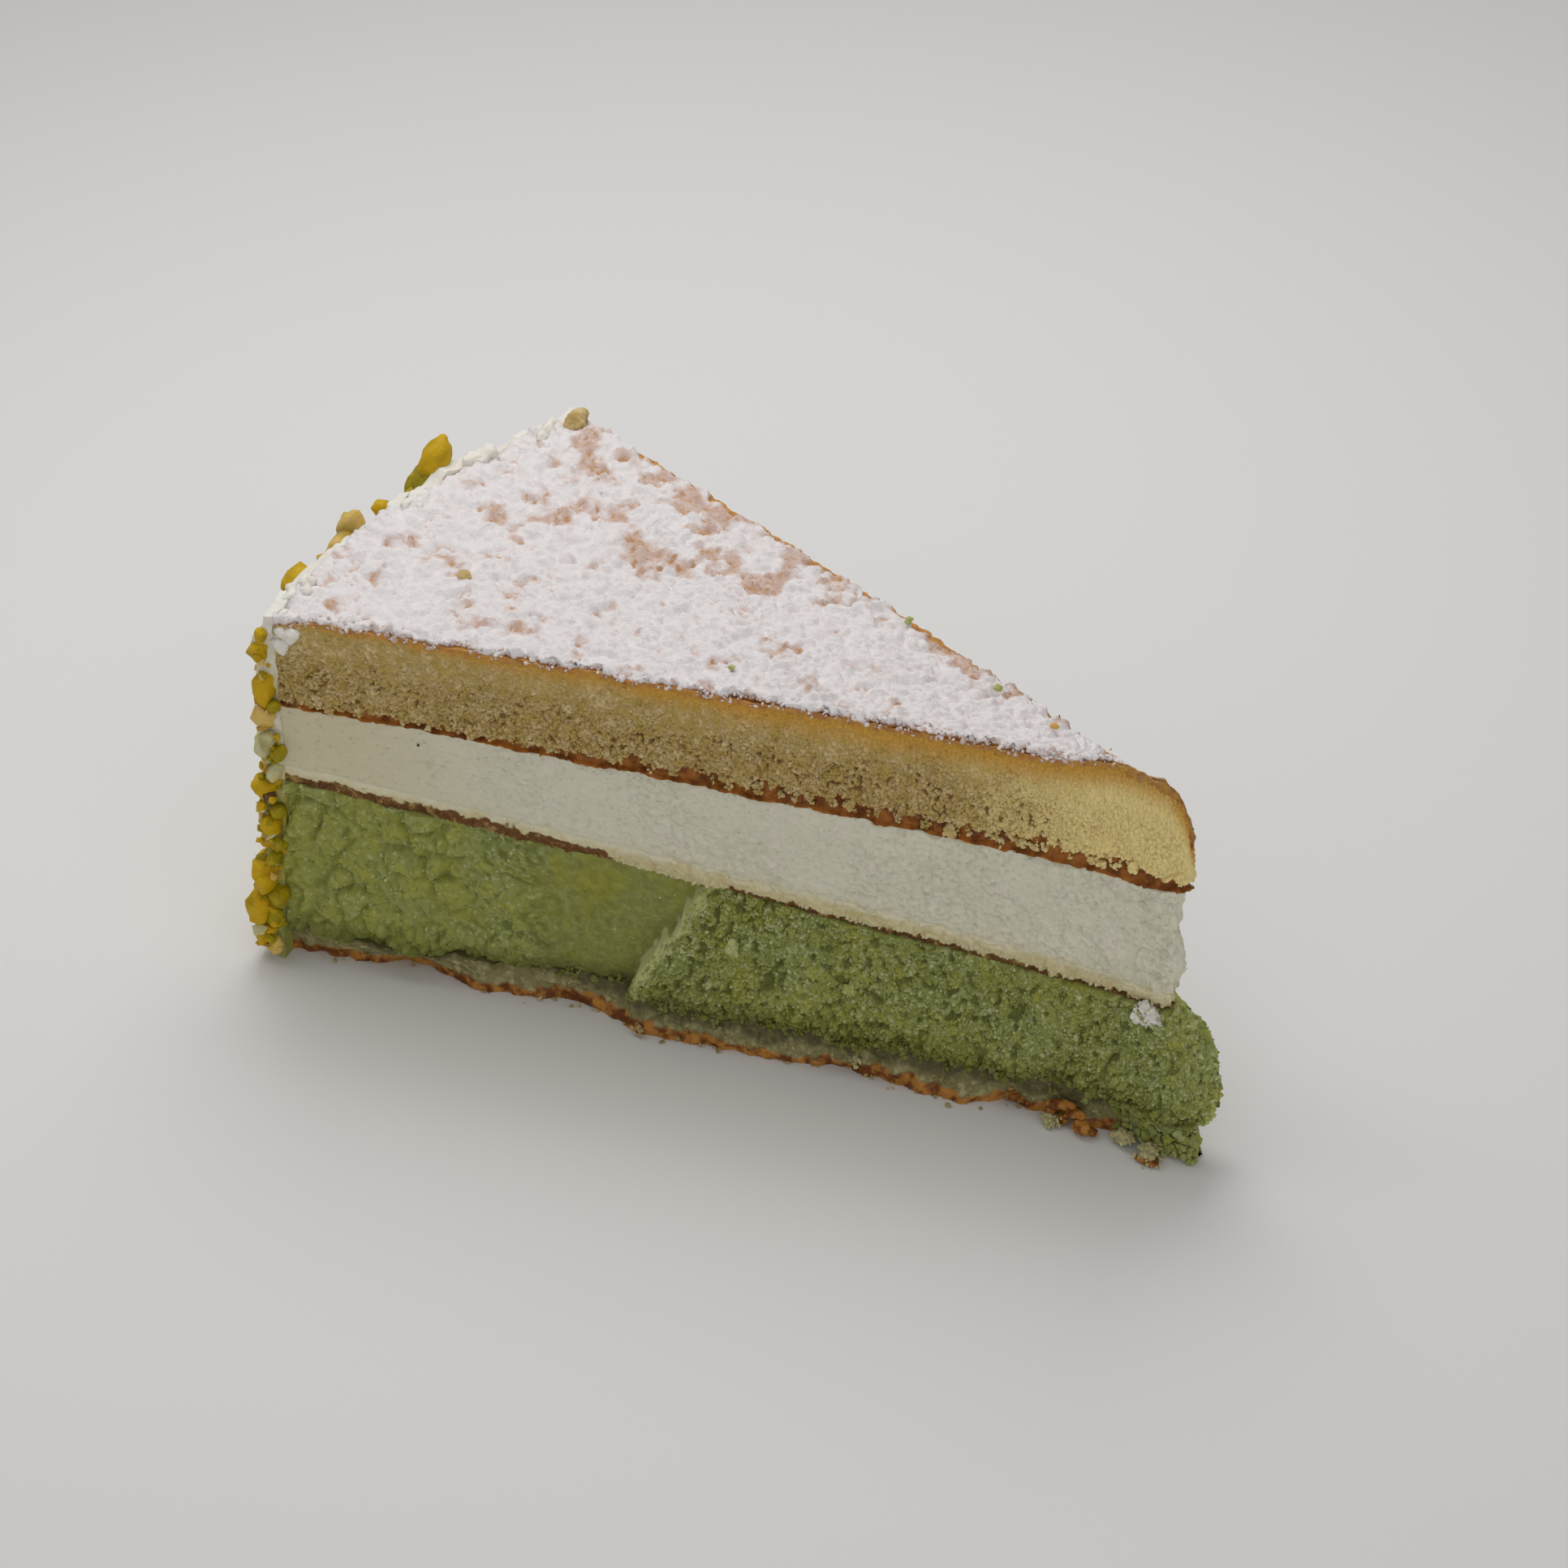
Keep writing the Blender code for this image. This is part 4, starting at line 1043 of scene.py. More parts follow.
class SliceColours(bpy.types.PropertyGroup):
    """Colours of the layers, the icing and the nuts."""

    crumb: colour("Crumb", "Crumb of the top sponge", (0.49, 0.33, 0.112))
    crumb_light: colour("Light crumb", "Lightest grains of the crumb", (0.74, 0.58, 0.31))
    crumb_yellow: colour("Yellow crumb", "Moist patches of the crumb", (0.52, 0.375, 0.105))
    # Painted light on the crumb near the point
    lit_point_crumb: colour("Point crumb", "Crumb at the slice's point", (0.94, 0.77, 0.345))
    golden: colour("Golden crumb", "Crumb right under the crust", (0.68, 0.365, 0.055))
    crust: colour("Crust", "Browned crust", (0.45, 0.20, 0.06))
    crust_edge: colour("Crust edge", "Edge of the crust on the cuts", (0.60, 0.30, 0.07))
    crust_dark: colour("Dark crust", "Darkest patches of the crust", (0.26, 0.10, 0.035))
    # Partly the pores' own brown, partly painted shade in them
    pore_brown_and_shade: colour("Pinhole", "Bottom of the pores", (0.24, 0.12, 0.03))
    skin: colour("Skin", "Moist skin under the top sponge", (0.17, 0.048, 0.005))
    skin_light: colour("Light skin", "Orange patches of a skin", (0.42, 0.15, 0.02))
    skin_dark: colour("Dark skin", "Dark skin under the sponge disc", (0.17, 0.07, 0.015))
    skin_pale: colour("Pale skin", "Golden patches of the skin under the disc", (0.46, 0.30, 0.10))
    ricotta: colour("Ricotta", "Ricotta cream", (0.81, 0.78, 0.63))
    ricotta_shade: colour("Ricotta shade", "Duller streaks of the ricotta", (0.75, 0.73, 0.57))
    ricotta_rim: colour("Ricotta by the rim", "Yellower ricotta towards the rim", (0.70, 0.64, 0.44))
    ricotta_rosy: colour("Rosy ricotta", "Warm grey patches of the ricotta", (0.79, 0.735, 0.63))
    # Painted shade at the bottom of the cracks
    ricotta_crack_shade: colour("Ricotta crack", "Bottom of the ricotta's cracks", (0.55, 0.52, 0.38))
    speck: colour("Speck", "A dark speck on the ricotta", (0.03, 0.03, 0.02))
    disc_light: colour("Light disc", "Light grains of the disc", (0.74, 0.685, 0.46))
    # Painted shade in the disc's pores
    disc_pore_shade: colour("Disc pore", "Pores of the disc", (0.46, 0.34, 0.13))
    disc: colour("Disc", "Sponge disc", (0.68, 0.60, 0.33))
    green: colour("Green", "Pistachio cream", (0.32, 0.35, 0.10))
    green_pale: colour("Pale green", "Sage grains of the pistachio cream", (0.60, 0.63, 0.34))
    green_yellow: colour("Yellow green", "Yellowish parts of the pistachio cream", (0.34, 0.345, 0.06))
    green_bright: colour("Bright green", "Crumbs low in the pistachio cream", (0.42, 0.41, 0.055))
    # Partly pale flakes, partly a painted highlight along the ridge
    green_crest_and_highlight: colour("Crest", "Crest of the broken ridge", (0.52, 0.54, 0.20))
    # Painted shade of the crevices, the hollow and the foot of the pistachio cream
    green_shade: colour("Dark green", "Crevices of the pistachio cream", (0.11, 0.12, 0.018))
    # The base's own grey-green, darkened as painted shade where it is drawn in under the cream
    base: colour("Base", "Moist base", (0.12, 0.105, 0.04))
    base_light: colour("Light base", "Lighter crumbs of the base", (0.22, 0.195, 0.075))
    ledge: colour("Ledge", "Torn ledge of the base", (0.27, 0.24, 0.095))
    ledge_light: colour("Light ledge", "Pale crumbs of the torn ledge", (0.58, 0.53, 0.27))
    skin_orange: colour("Orange skin", "Orange patches of the base's skin", (0.50, 0.22, 0.04))
    # Painted shade in the crevices of the base
    base_crevice_shade: colour("Dark base", "Crevices of the base", (0.07, 0.055, 0.02))
    icing: colour("Icing", "Icing sugar", (0.93, 0.875, 0.87))
    icing_thin: colour("Thin icing", "Icing sugar where the crust shines through", (0.66, 0.44, 0.34))
    # Painted bluish shade, multiplied over random patches of the icing
    icing_shade: colour("Icing shade", "Bluish clumps in the icing", (0.90, 0.92, 0.95))
    coat: colour("Coat", "Cream on the rim", (0.82, 0.78, 0.62))
    # Also the colour of the white crumb lumps, where it is partly painted light
    white_coat_and_lit_crumb: colour("White coat", "Cream along the top of the rim", (0.84, 0.80, 0.72))
    coat_low: colour("Low coat", "Cream stained by the nuts low on the rim", (0.50, 0.40, 0.06))
    coat_moist: colour("Moist coat", "Yellowish patches of the cream on the rim", (0.74, 0.66, 0.36))
    nut_green: colour("Nut green", "Green pistachio", (0.34, 0.27, 0.0))
    nut_mustard: colour("Nut mustard", "Mustard pistachio", (0.62, 0.38, 0.0))
    nut_tan: colour("Nut tan", "Tan pistachio", (0.76, 0.52, 0.16))
    nut_mint: colour("Nut mint", "Pale pistachio", (0.62, 0.60, 0.34))
    nut_purple: colour("Nut purple", "Dark skin of a pistachio", (0.09, 0.035, 0.03))
    nut_dark: colour("Nut dark", "Dark side of a pistachio", (0.18, 0.14, 0.0))
    nut_yellow: colour("Nut yellow", "Yellow veins of a pistachio", (0.68, 0.46, 0.0))


class StageSettings(bpy.types.PropertyGroup):
    """The floor and the light."""

    floor: colour("Floor", "Pale floor", (0.78, 0.77, 0.758))
    sky: FloatProperty(name="Sky", description="Strength of the light from all round", default=0.27)
    lamp: FloatProperty(name="Lamps", description="Strength of the soft lamps", default=0.8)


# Pieces -------------------------------------------------------------------------------------------


def build_layer(context, name, finish):
    """Cuts one layer and dresses it in its finish."""
    sizes, layer = context.scene.slice_sizes, LAYERS[name]
    shape = unit_block(layer.columns, layer.across, layer.rows, fine_front=True)
    marks = mark_layers(shape)
    for vertex in shape.verts:
        under_icing = layer.above == "sponge_top" and vertex.co.z > AT_EDGE
        sunk = under_icing and abs(vertex.co.y) < ICING_ROOM_WIDTH
        vertex.co, values = layer.place(sizes, *vertex.co)
        if sunk:
            vertex.co.z -= ICING_ROOM
        for mark, value in zip(marks, values):
            vertex[mark] = value
    bmesh.ops.reverse_faces(shape, faces=shape.faces)  # the block was mirrored, as it now runs towards -X
    return finished_piece(name + "_cut", shape, finish(context.scene.slice_colours), name)


def outwards(side):
    """The direction that a cut faces."""
    return Vector((math.sin(HALF_ANGLE), side * math.cos(HALF_ANGLE), 0))


def front_place(layer, sizes, from_apex, height, out=0.0):
    """A place on a layer's front cut, moved out from the plane of the cut, and its marks."""
    place, marks = layer.spot(sizes, -1, from_apex, height)
    return place + outwards(-1) * out, marks


def scatter_grains(scatter, sizes, layer, count, radii, wanted=None, sink=0.1 * MM):
    """Strews grains over both cuts of a layer, most of them on the front."""
    draw = scatter.draw
    while count > 0:
        side = -1 if draw.random() < FRONT_SHARE else 1
        along, up = spread_to_even(draw.random()), draw.random()
        place, marks = layer.place(sizes, along, side, up)
        if wanted and draw.random() > wanted(APEX.x - place.x, place, marks):
            continue
        radius = draw.uniform(*radii) * draw.uniform(0.7, 1.0)
        place += outwards(side) * (radius * 0.4 - sink)
        scatter.add(place, radius, marks._replace(pit=0.0, tone=draw.random()))
        count -= 1


class SLICE_OT_top_sponge(bpy.types.Operator):
    """Cuts the top sponge, its crumb and its skin"""

    bl_idname = "slice.top_sponge"
    bl_label = "Top sponge"

    def execute(self, context):
        layer = build_layer(context, "top_sponge", crumb_finish)
        sizes, scatter = context.scene.slice_sizes, Scatter("sponge_crumbs")

        def wanted(from_apex, place, marks):
            openness = past(marks.fall, 2, 6) * (0.2 + 0.8 * past(from_apex / MM, 6, 16))
            return (0.12 + 0.88 * openness) * (1 - 0.85 * marks.brown) * (1 - 0.7 * marks.pit)

        sponge, draw = LAYERS["top_sponge"], scatter.draw
        scatter_grains(scatter, sizes, sponge, sizes.sponge_grains, (0.11 * MM, 0.28 * MM), wanted)
        for _ in range(sizes.hanging_clumps):
            from_apex = draw.uniform(4, 116) * MM
            height = surface_height("ricotta_top", from_apex, 0) + draw.uniform(0.6, 2.4) * MM
            middle, _ = front_place(sponge, sizes, from_apex, height, 0.15 * MM)
            spread = (0.5 * MM, 0.35 * MM, draw.uniform(0.4, 0.9) * MM)
            scatter.cluster(middle, spread, draw.randint(4, 11), (0.14 * MM, 0.34 * MM), PALE_CRUMB)
        scatter.piece(layer.data.materials[0], "top_sponge")
        return {"FINISHED"}


class SLICE_OT_ricotta(bpy.types.Operator):
    """Cuts the ricotta cream"""

    bl_idname = "slice.ricotta"
    bl_label = "Ricotta cream"

    def execute(self, context):
        layer = build_layer(context, "ricotta_cream", ricotta_finish)
        sizes, scatter = context.scene.slice_sizes, Scatter("ricotta_crumbs")

        def wanted(from_apex, place, marks):
            rough = 0.25 + past(marks.pit, 0.3, 0.3) + smooth_step(1 - from_apex / (6 * MM))
            return rough * (1 - 0.7 * past(from_apex, 75 * MM, 20 * MM))

        ricotta, radii = LAYERS["ricotta_cream"], (0.08 * MM, 0.2 * MM)
        scatter_grains(scatter, sizes, ricotta, sizes.ricotta_grains, radii, wanted, 0.02 * MM)
        scatter.piece(layer.data.materials[0], "ricotta_cream")
        return {"FINISHED"}


class SLICE_OT_sponge_disc(bpy.types.Operator):
    """Cuts the thin sponge disc"""

    bl_idname = "slice.sponge_disc"
    bl_label = "Sponge disc"

    def execute(self, context):
        build_layer(context, "sponge_disc", disc_finish)
        return {"FINISHED"}


class SLICE_OT_pistachio(bpy.types.Operator):
    """Cuts the pistachio cream, with its ridge and hollow"""

    bl_idname = "slice.pistachio"
    bl_label = "Pistachio cream"

    def execute(self, context):
        layer = build_layer(context, "pistachio_cream", pistachio_finish)
        sizes, scatter = context.scene.slice_sizes, Scatter("pistachio_crumbs")

        def wanted(from_apex, place, marks):
            hollow = broken_hollow(from_apex, place.z) if place.y < APEX.y else 0.0
            rough = (1 - smooth_step(hollow / CALM_DEPTH)) * (1 - 0.7 * past(marks.pit, 0.4, 0.4))
            return 0.01 + rough * (1 - 0.75 * past(from_apex, 78 * MM, 16 * MM))

        cream, draw, radii = LAYERS["pistachio_cream"], scatter.draw, (0.1 * MM, 0.3 * MM)
        scatter_grains(scatter, sizes, cream, sizes.pistachio_grains, radii, wanted, 0.06 * MM)
        for _ in range(sizes.hanging_clumps):
            from_apex = draw.uniform(-4, 82) * MM
            height = surface_height("base_top", max(0.0, from_apex), 0) + draw.uniform(-0.6, 1.2) * MM
            middle, _ = front_place(cream, sizes, from_apex, height, 0.2 * MM)
            middle.z = height
            spread, number = (0.6 * MM, 0.4 * MM, draw.uniform(0.3, 0.8) * MM), draw.randint(3, 10)
            marks = Marks(9, 0.3, 0, draw.random(), 0.8)
            scatter.cluster(middle, spread, number, (0.16 * MM, 0.4 * MM), marks)
        for _ in range(sizes.nose_crumbs):
            from_apex, height = draw.uniform(-5.4, 7.0) * MM, draw.uniform(0.3, 6.5) * MM
            out = (0.7 - 0.08 * max(0.0, from_apex / MM)) * draw.uniform(0.0, 1.8) * MM
            middle, _ = front_place(LAYERS["base_sponge"], sizes, from_apex, height, out)
            middle.z = height
            radius = draw.uniform(0.2, 0.62) * MM
            scatter.add(middle, radius, Marks(9, 3, 0, draw.random(), draw.choice((0, 0.3, 0.9))))
        for _ in range(sizes.nose_crumbs):
            place, marks = cream.place(sizes, 0.0, draw.uniform(-1, 0.6), draw.random())
            radius = draw.uniform(0.2, 0.5) * MM
            scatter.add(place, radius, Marks(9, 9, 0, draw.random(), marks.brown))
        scatter.piece(layer.data.materials[0], "pistachio_cream")
        return {"FINISHED"}


class SLICE_OT_base(bpy.types.Operator):
    """Cuts the moist base"""

    bl_idname = "slice.base"
    bl_label = "Base"

    def execute(self, context):
        layer = build_layer(context, "base_sponge", base_finish)
        sizes, scatter = context.scene.slice_sizes, Scatter("base_crumbs")
        draw, base = scatter.draw, LAYERS["base_sponge"]
        scatter_grains(scatter, sizes, base, sizes.base_grains, (0.12 * MM, 0.34 * MM))
        for _ in range(sizes.foot_crumbs):
            from_apex, out = draw.uniform(0, 116) * MM, draw.gauss(0.3, 0.7) * MM
            place, marks = front_place(base, sizes, from_apex, 0.2 * MM, out)
            place.z = 0.2 * MM
            radius = draw.uniform(0.12, 0.4) * MM
            scatter.add(place, radius, marks._replace(pit=0.0, tone=draw.random(), brown=0.3))
        for from_apex, height, out, size, count, brown in BASE_CLUMPS:
            middle, marks = front_place(base, sizes, from_apex * MM, height * MM, out * MM)
            middle.z = height * MM
            spread, marks = Vector((1, 1, 0.7)) * size * MM, marks._replace(pit=0.0, tone=0.9, brown=brown)
            scatter.cluster(middle, spread, count, (0.15 * MM, 0.4 * MM), marks)
        scatter.piece(layer.data.materials[0], "base_sponge")
        return {"FINISHED"}


def bareness(from_apex, across):
    """How much of the sugar is missing at a place on the top, from the patches and the far edge."""
    bare = 0.0
    for far, aside, radius in BARE_PATCHES:
        away = math.hypot(from_apex - far * MM, across - aside * MM) / (radius * MM)
        if away < 2.2:
            bare = max(bare, math.exp(-away * away))
    return bare


def billow(place, length, seed):
    """Rounded heaps with sharp creases between them, from 0 to about 1."""
    return min(1.0, 2.2 * abs(ripple(place, length, seed)))


def sugar_thickness(sizes, place, from_apex, to_edge):
    """Thickness of the icing sugar and how much of the crust shines through: heaps with creases, thin in
    patches with small holes and along the edges, and none where the crust bends down at the point."""
    warp = Vector((ripple(place, 2.5 * MM, 78), ripple(place, 2.5 * MM, 79), 0.0)) * 0.8 * MM
    flat = Vector((place.x, place.y, 0.0)) + warp
    heaps = 0.1 + 0.5 * ripple(flat, 9 * MM, 80) + 0.85 * billow(flat, 4.4 * MM, 81)
    heaps += 0.85 * billow(flat, 2.2 * MM, 82) + 0.5 * billow(flat, 1.1 * MM, 83)
    heaps += 0.3 * ripple(flat, 0.62 * MM, 89)
    bare = bareness(from_apex, place.y - APEX.y)
    at_back = smooth_step((place.y - APEX.y) / (14 * MM) + 0.2)
    edge = smooth_step(1 - to_edge / (3 * MM)) * (0.25 + 0.75 * at_back)
    missing = bare + 0.25 * at_back + 0.7 * edge
    missing += ripple(flat, 4.2 * MM, 85) + 0.9 * ripple(flat, 1.9 * MM, 76)
    missing = smooth_step(missing * 0.8 - 0.05)
    holes = past(-ripple(flat, 1.2 * MM, 84), 0.24, 0.15) * smooth_step(missing * 1.5 - 0.3)
    thin_edge = smooth_step(1 - to_edge / (1.8 * MM)) * (0.3 + (0.9 + at_back) * billow(flat, 1.1 * MM, 86))
    point = smooth_step((POINT_BARE - from_apex) / (3 * MM) + 0.8 * ripple(flat, 2.2 * MM, 88))
    heaps = max(0.1, heaps - missing * 0.4 * min(1.0, max(heaps, 0.0)) - 0.6 * holes)
    return sizes.sugar * (heaps - 0.9 * thin_edge - 2.4 * point), max(missing, 1.4 * holes)


class SLICE_OT_icing(bpy.types.Operator):
    """Lays the browned crust with its icing sugar"""

    bl_idname = "slice.icing"
    bl_label = "Icing sugar"

    def execute(self, context):
        sizes, colours = context.scene.slice_sizes, context.scene.slice_colours
        layer = LAYERS["top_sponge"]
        shape = bmesh.new()
        bmesh.ops.create_grid(shape, x_segments=ICING_COLUMNS, y_segments=ICING_ACROSS, size=1.0)
        marks = mark_layers(shape)
        for vertex in shape.verts:
            along, side = vertex.co.x / 2 + 0.5, vertex.co.y
            place, _ = layer.place(sizes, along, side * AT_EDGE, 1.0)
            edge, _ = layer.place(sizes, along, math.copysign(1.0, side), 1.0)
            blend = past(abs(side), ICING_BLEND, 1 - ICING_BLEND)
            plain = APEX.y + math.copysign(abs(place.y - APEX.y), side)
            place.y = plain + (edge.y - plain) * blend
            inset = 0.4 + 1.0 * ripple(place, 2.6 * MM, 99) + 0.7 * ripple(place, 1.0 * MM, 100)
            blend *= min(1.0, abs(edge.y - APEX.y) / (5 * MM))
            place.y -= math.copysign(max(inset, -0.2) * MM * blend, side)
            place.z += CRUST_LUMP * ripple(place, CRUST_LUMP_LENGTH, 15)
            from_apex = APEX.x - place.x
            to_edge = (1 - abs(side)) * abs(edge.y - APEX.y)
            thickness, vertex[marks.pit] = sugar_thickness(sizes, place, from_apex, to_edge)
            bare = smooth_step((POINT_BARE + 3 * MM - from_apex) / (4 * MM))
            crust_relief = waves(place, (0.15 + 0.12 * bare, 1.1, 87), (0.1 + 0.06 * bare, 0.55, 77))
            vertex[marks.rise] = thickness / MM
            soft = math.sqrt(thickness**2 + (0.08 * MM) ** 2)
            place.z += crust_relief + (thickness + soft) / 2
            vertex.co = place
        edges = [edge for edge in shape.edges if edge.is_boundary]
        middle = Vector((-CAKE_RADIUS * 0.6, 0, 0)) + APEX
        for depth, outset in CRUST_WALL:
            made = bmesh.ops.extrude_edge_only(shape, edges=edges)["geom"]
            edges = [item for item in made if isinstance(item, bmesh.types.BMEdge) and item.is_boundary]
            for vertex in (item for item in made if isinstance(item, bmesh.types.BMVert)):
                outward = (vertex.co - middle).to_2d().normalized().to_3d()
                drop = (depth + max(0, vertex[marks.rise])) * MM
                vertex.co += outward * outset * MM - Vector((0, 0, drop))
                vertex[marks.rise] = BARE_CRUST
        bmesh.ops.edgeloop_fill(shape, edges=edges)
        bmesh.ops.recalc_face_normals(shape, faces=shape.faces)
        piece = finished_piece("icing_sugar", shape, icing_finish(colours), "top_sponge")
        scatter = Scatter("sugar_crumbs")
        draw = scatter.draw
        for _ in range(sizes.sugar_crumbs):
            place, _ = layer.place(sizes, spread_to_even(draw.uniform(0.08, 1.0)), -1.0, 1.0)
            inwards = abs(draw.gauss(0, 0.8)) * MM
            drop = draw.uniform(-0.5, 0.15) if inwards < 0.35 * MM else draw.uniform(0.1, 0.5)
            place += Vector((0, 0, drop * MM)) - outwards(-1) * inwards
            radius = draw.choice((0.1, 0.16, 0.22, 0.32)) * MM
            scatter.add(place, radius, Marks(0.0, draw.choice((1.0, 0.1)), 0.0, 0.5, 0.0))
        scatter.piece(piece.data.materials[0], "top_sponge")
        return {"FINISHED"}


def coat_height(turn, up):
    """The height of a place on the coat, whose upper edge is uneven."""
    return up * (COAT_TOP + COAT_TOP_LUMP * ripple(Vector((turn * 4, 0, 0)), 1, 18))


class SLICE_OT_coat(bpy.types.Operator):
    """Spreads the cream on the rim"""

    bl_idname = "slice.coat"
    bl_label = "Rim cream"

    def execute(self, context):
        shape = unit_block(COAT_COLUMNS, 1, COAT_ROWS)
        rise = mark_layers(shape).rise
        for vertex in shape.verts:
            turn, outer, up = vertex.co.x * 2 - 1, vertex.co.y > 0, vertex.co.z
            height = coat_height(turn, up)
            angle, radius = turn * HALF_ANGLE, rim_radius(height) + COAT_SEAM
            if outer:
                rounded = smooth_step(1 - (1 - up) * COAT_TOP / COAT_ROUNDING)
                thickness = COAT_GAP + COAT_THICKNESS + (COAT_TOP_THICKNESS - COAT_THICKNESS) * rounded
                radius += thickness * (COAT_FOOT + (1 - COAT_FOOT) * smooth_step(height / COAT_FOOT_HEIGHT))
                place = rim_place(angle, radius, height)
                radius += COAT_LUMP * ripple(place, COAT_LUMP_LENGTH, 17)
                radius += waves(place, (0.5, 3.2, 90), (0.2, 1.2, 91))
            place = rim_place(angle, radius, height)
            if up > AT_EDGE:
                place.z += TOP_CREAM + waves(place, (1.1, 5, 92), (0.7, 1.7, 93))
            if abs(turn) > AT_EDGE:
                ragged = waves(place, (0.9, 2.8, 97), (0.6, 1.1, 98))
                place.y += math.copysign(ragged, turn) - math.copysign(COAT_END, turn)
            vertex[rise] = height / MM
            vertex.co = place
        finish = cream_finish(context.scene.slice_colours)
        finished_piece("rim_cream", shape, finish, "rim_coat")
        return {"FINISHED"}


def nut_places():
    """Angle, height and radius of every piece of nut: the kernels, then uneven rows over the coat."""
    draw = random.Random(NUT_SEED)
    places = [(math.radians(angle), height * MM, radius * MM) for angle, height, radius in KERNELS]
    rows = round((NUT_HIGHEST - NUT_LOWEST) / NUT_ROW_STEP)
    columns = round(2 * HALF_ANGLE * CAKE_RADIUS / NUT_COLUMN_STEP)
    for row in range(rows + 1):
        for column in range(columns):
            shift = draw.uniform(-0.32, 0.32) + (0.25 if row % 2 else -0.25)
            angle = HALF_ANGLE * (2 * (column + 0.5 + shift) / columns - 1)
            height = NUT_LOWEST + NUT_ROW_STEP * (row + draw.uniform(-0.3, 0.3))
            radius = draw.uniform(*NUT_RADIUS)
            apart = min(
                math.hypot((angle - math.radians(taken)) * CAKE_RADIUS, height - level * MM)
                for taken, level, _ in KERNELS
            )
            if draw.random() < NUT_KEPT and apart > KERNEL_ROOM:
                places.append((angle, max(height, radius + 0.6 * MM), radius))
    return places


def add_nut(shape, marks, angle, height, radius, draw, kind, middle=None):
    """One angular chip of pistachio, flatter towards the coat than along it, its edges worn round."""
    first = len(shape.verts)
    chip = bmesh.ops.create_icosphere(shape, subdivisions=1, radius=radius)["verts"]
    turn = Euler([draw.uniform(0, math.tau) for _ in range(3)]).to_matrix()
    bmesh.ops.rotate(shape, verts=chip, matrix=turn)
    facing = Matrix.Rotation(-angle, 3, "Z") @ Matrix.Rotation(draw.uniform(0, math.tau), 3, "X")
    on_coat = rim_radius(height) + COAT_GAP + NUT_DEPTH + NUT_SHAPE[0] * radius
    middle = middle or rim_place(angle, on_coat, height)
    for vertex in chip:
        chipped = vertex.co * Vector(NUT_SHAPE) * draw.uniform(*NUT_CHIPPING)
        vertex.co = middle + facing @ chipped
    edges = list({edge for vertex in chip for edge in vertex.link_edges})
    bmesh.ops.subdivide_edges(shape, edges=edges, cuts=3, use_grid_fill=True)
    shape.verts.ensure_lookup_table()
    chip = shape.verts[first:]
    bmesh.ops.smooth_vert(shape, verts=chip, factor=0.5, use_axis_x=True, use_axis_y=True, use_axis_z=True)
    for vertex in chip:
        rough = radius * (0.10 * ripple(vertex.co, 1.6 * MM, 94) + 0.07 * ripple(vertex.co, 0.7 * MM, 95))
        vertex.co += (vertex.co - middle).normalized() * rough
        vertex.co.z = max(vertex.co.z, NUT_FLOOR)
        vertex[marks.brown] = kind
        vertex[marks.tone] = 0.5 + 0.7 * ripple(vertex.co, 2.2 * MM, 96)


class SLICE_OT_nuts(bpy.types.Operator):
    """Presses the chopped pistachios into the rim"""

    bl_idname = "slice.nuts"
    bl_label = "Chopped pistachios"

    def execute(self, context):
        shape = bmesh.new()
        marks = mark_layers(shape)
        draw, kinds = random.Random(NUT_SEED + 1), random.Random(NUT_SEED + 2)
        for number, place in enumerate(nut_places()):
            kind = KERNEL_KINDS[number] if number < len(KERNELS) else kinds.random()
            add_nut(shape, marks, *place, draw, kind)
        for angle, height, radius, out, kind in MORE_NUTS:
            angle = math.radians(angle)
            middle = rim_place(angle, rim_radius(height * MM) + out * MM, height * MM)
            add_nut(shape, marks, angle, height * MM, radius * MM, draw, kind, middle)
        finish = nut_finish(context.scene.slice_colours)
        finished_piece("chopped_pistachios", shape, finish, "rim_coat")
        scatter = Scatter("pistachio_bits")
        draw = scatter.draw
        for _ in range(context.scene.slice_sizes.nut_crumbs):
            at_edge = draw.random() < 0.22
            angle = draw.gauss(-HALF_ANGLE, 0.006) if at_edge else draw.uniform(-HALF_ANGLE, HALF_ANGLE)
            height = draw.uniform(1.0, 48.5) * MM
            radius = draw.uniform(0.3, 1.0 if at_edge and height < 28 * MM else 0.65) * MM
            out = draw.uniform(0.2, 3.0) * MM if at_edge else COAT_THICKNESS
            middle = rim_place(angle, rim_radius(height) + COAT_GAP + out, height)
            kind = draw.choice(LOW_KINDS) if height < 30 * MM else draw.random()
            scatter.add(middle, radius, Marks(9, 9, 0, draw.uniform(0.2, 0.8), kind))
        scatter.piece(finish, "rim_coat")
        return {"FINISHED"}


# Lumps: the layer whose material and node they take, where they are, their size in mm and their marks.
# On the front cut a place is the distance from the apex, the height and how far out, on the top it is
# the distance from the apex, the place across and how far up, and on the rim the angle, height and out.
PALE, BROWN = Marks(9.0, 9.0, 0.0, 0.6, 0.0), Marks(9.0, 0.8, 0.0, 0.5, 1.0)
# The white crumb's marks give it a whiter colour, partly painted light on its top
CREAM, LIT_WHITE = Marks(9.0, 60.0, 0.0, 0.5, 0.0), Marks(90.0, 9.0, 0.0, 0.6, 0.0)
TAN, SPECK = Marks(2.0, 9.0, 0.0, 0.7, 0.0), Marks(9.0, 9.0, 5.0, 0.0, 5.0)
GREEN, BRIGHT = Marks(9.0, 9.0, 0.0, 1.0, 0.5), Marks(9.0, 9.0, 0.0, 1.0, 0.8)
YELLOW = Marks(9.0, 9.0, 0.0, 1.0, 1.0)
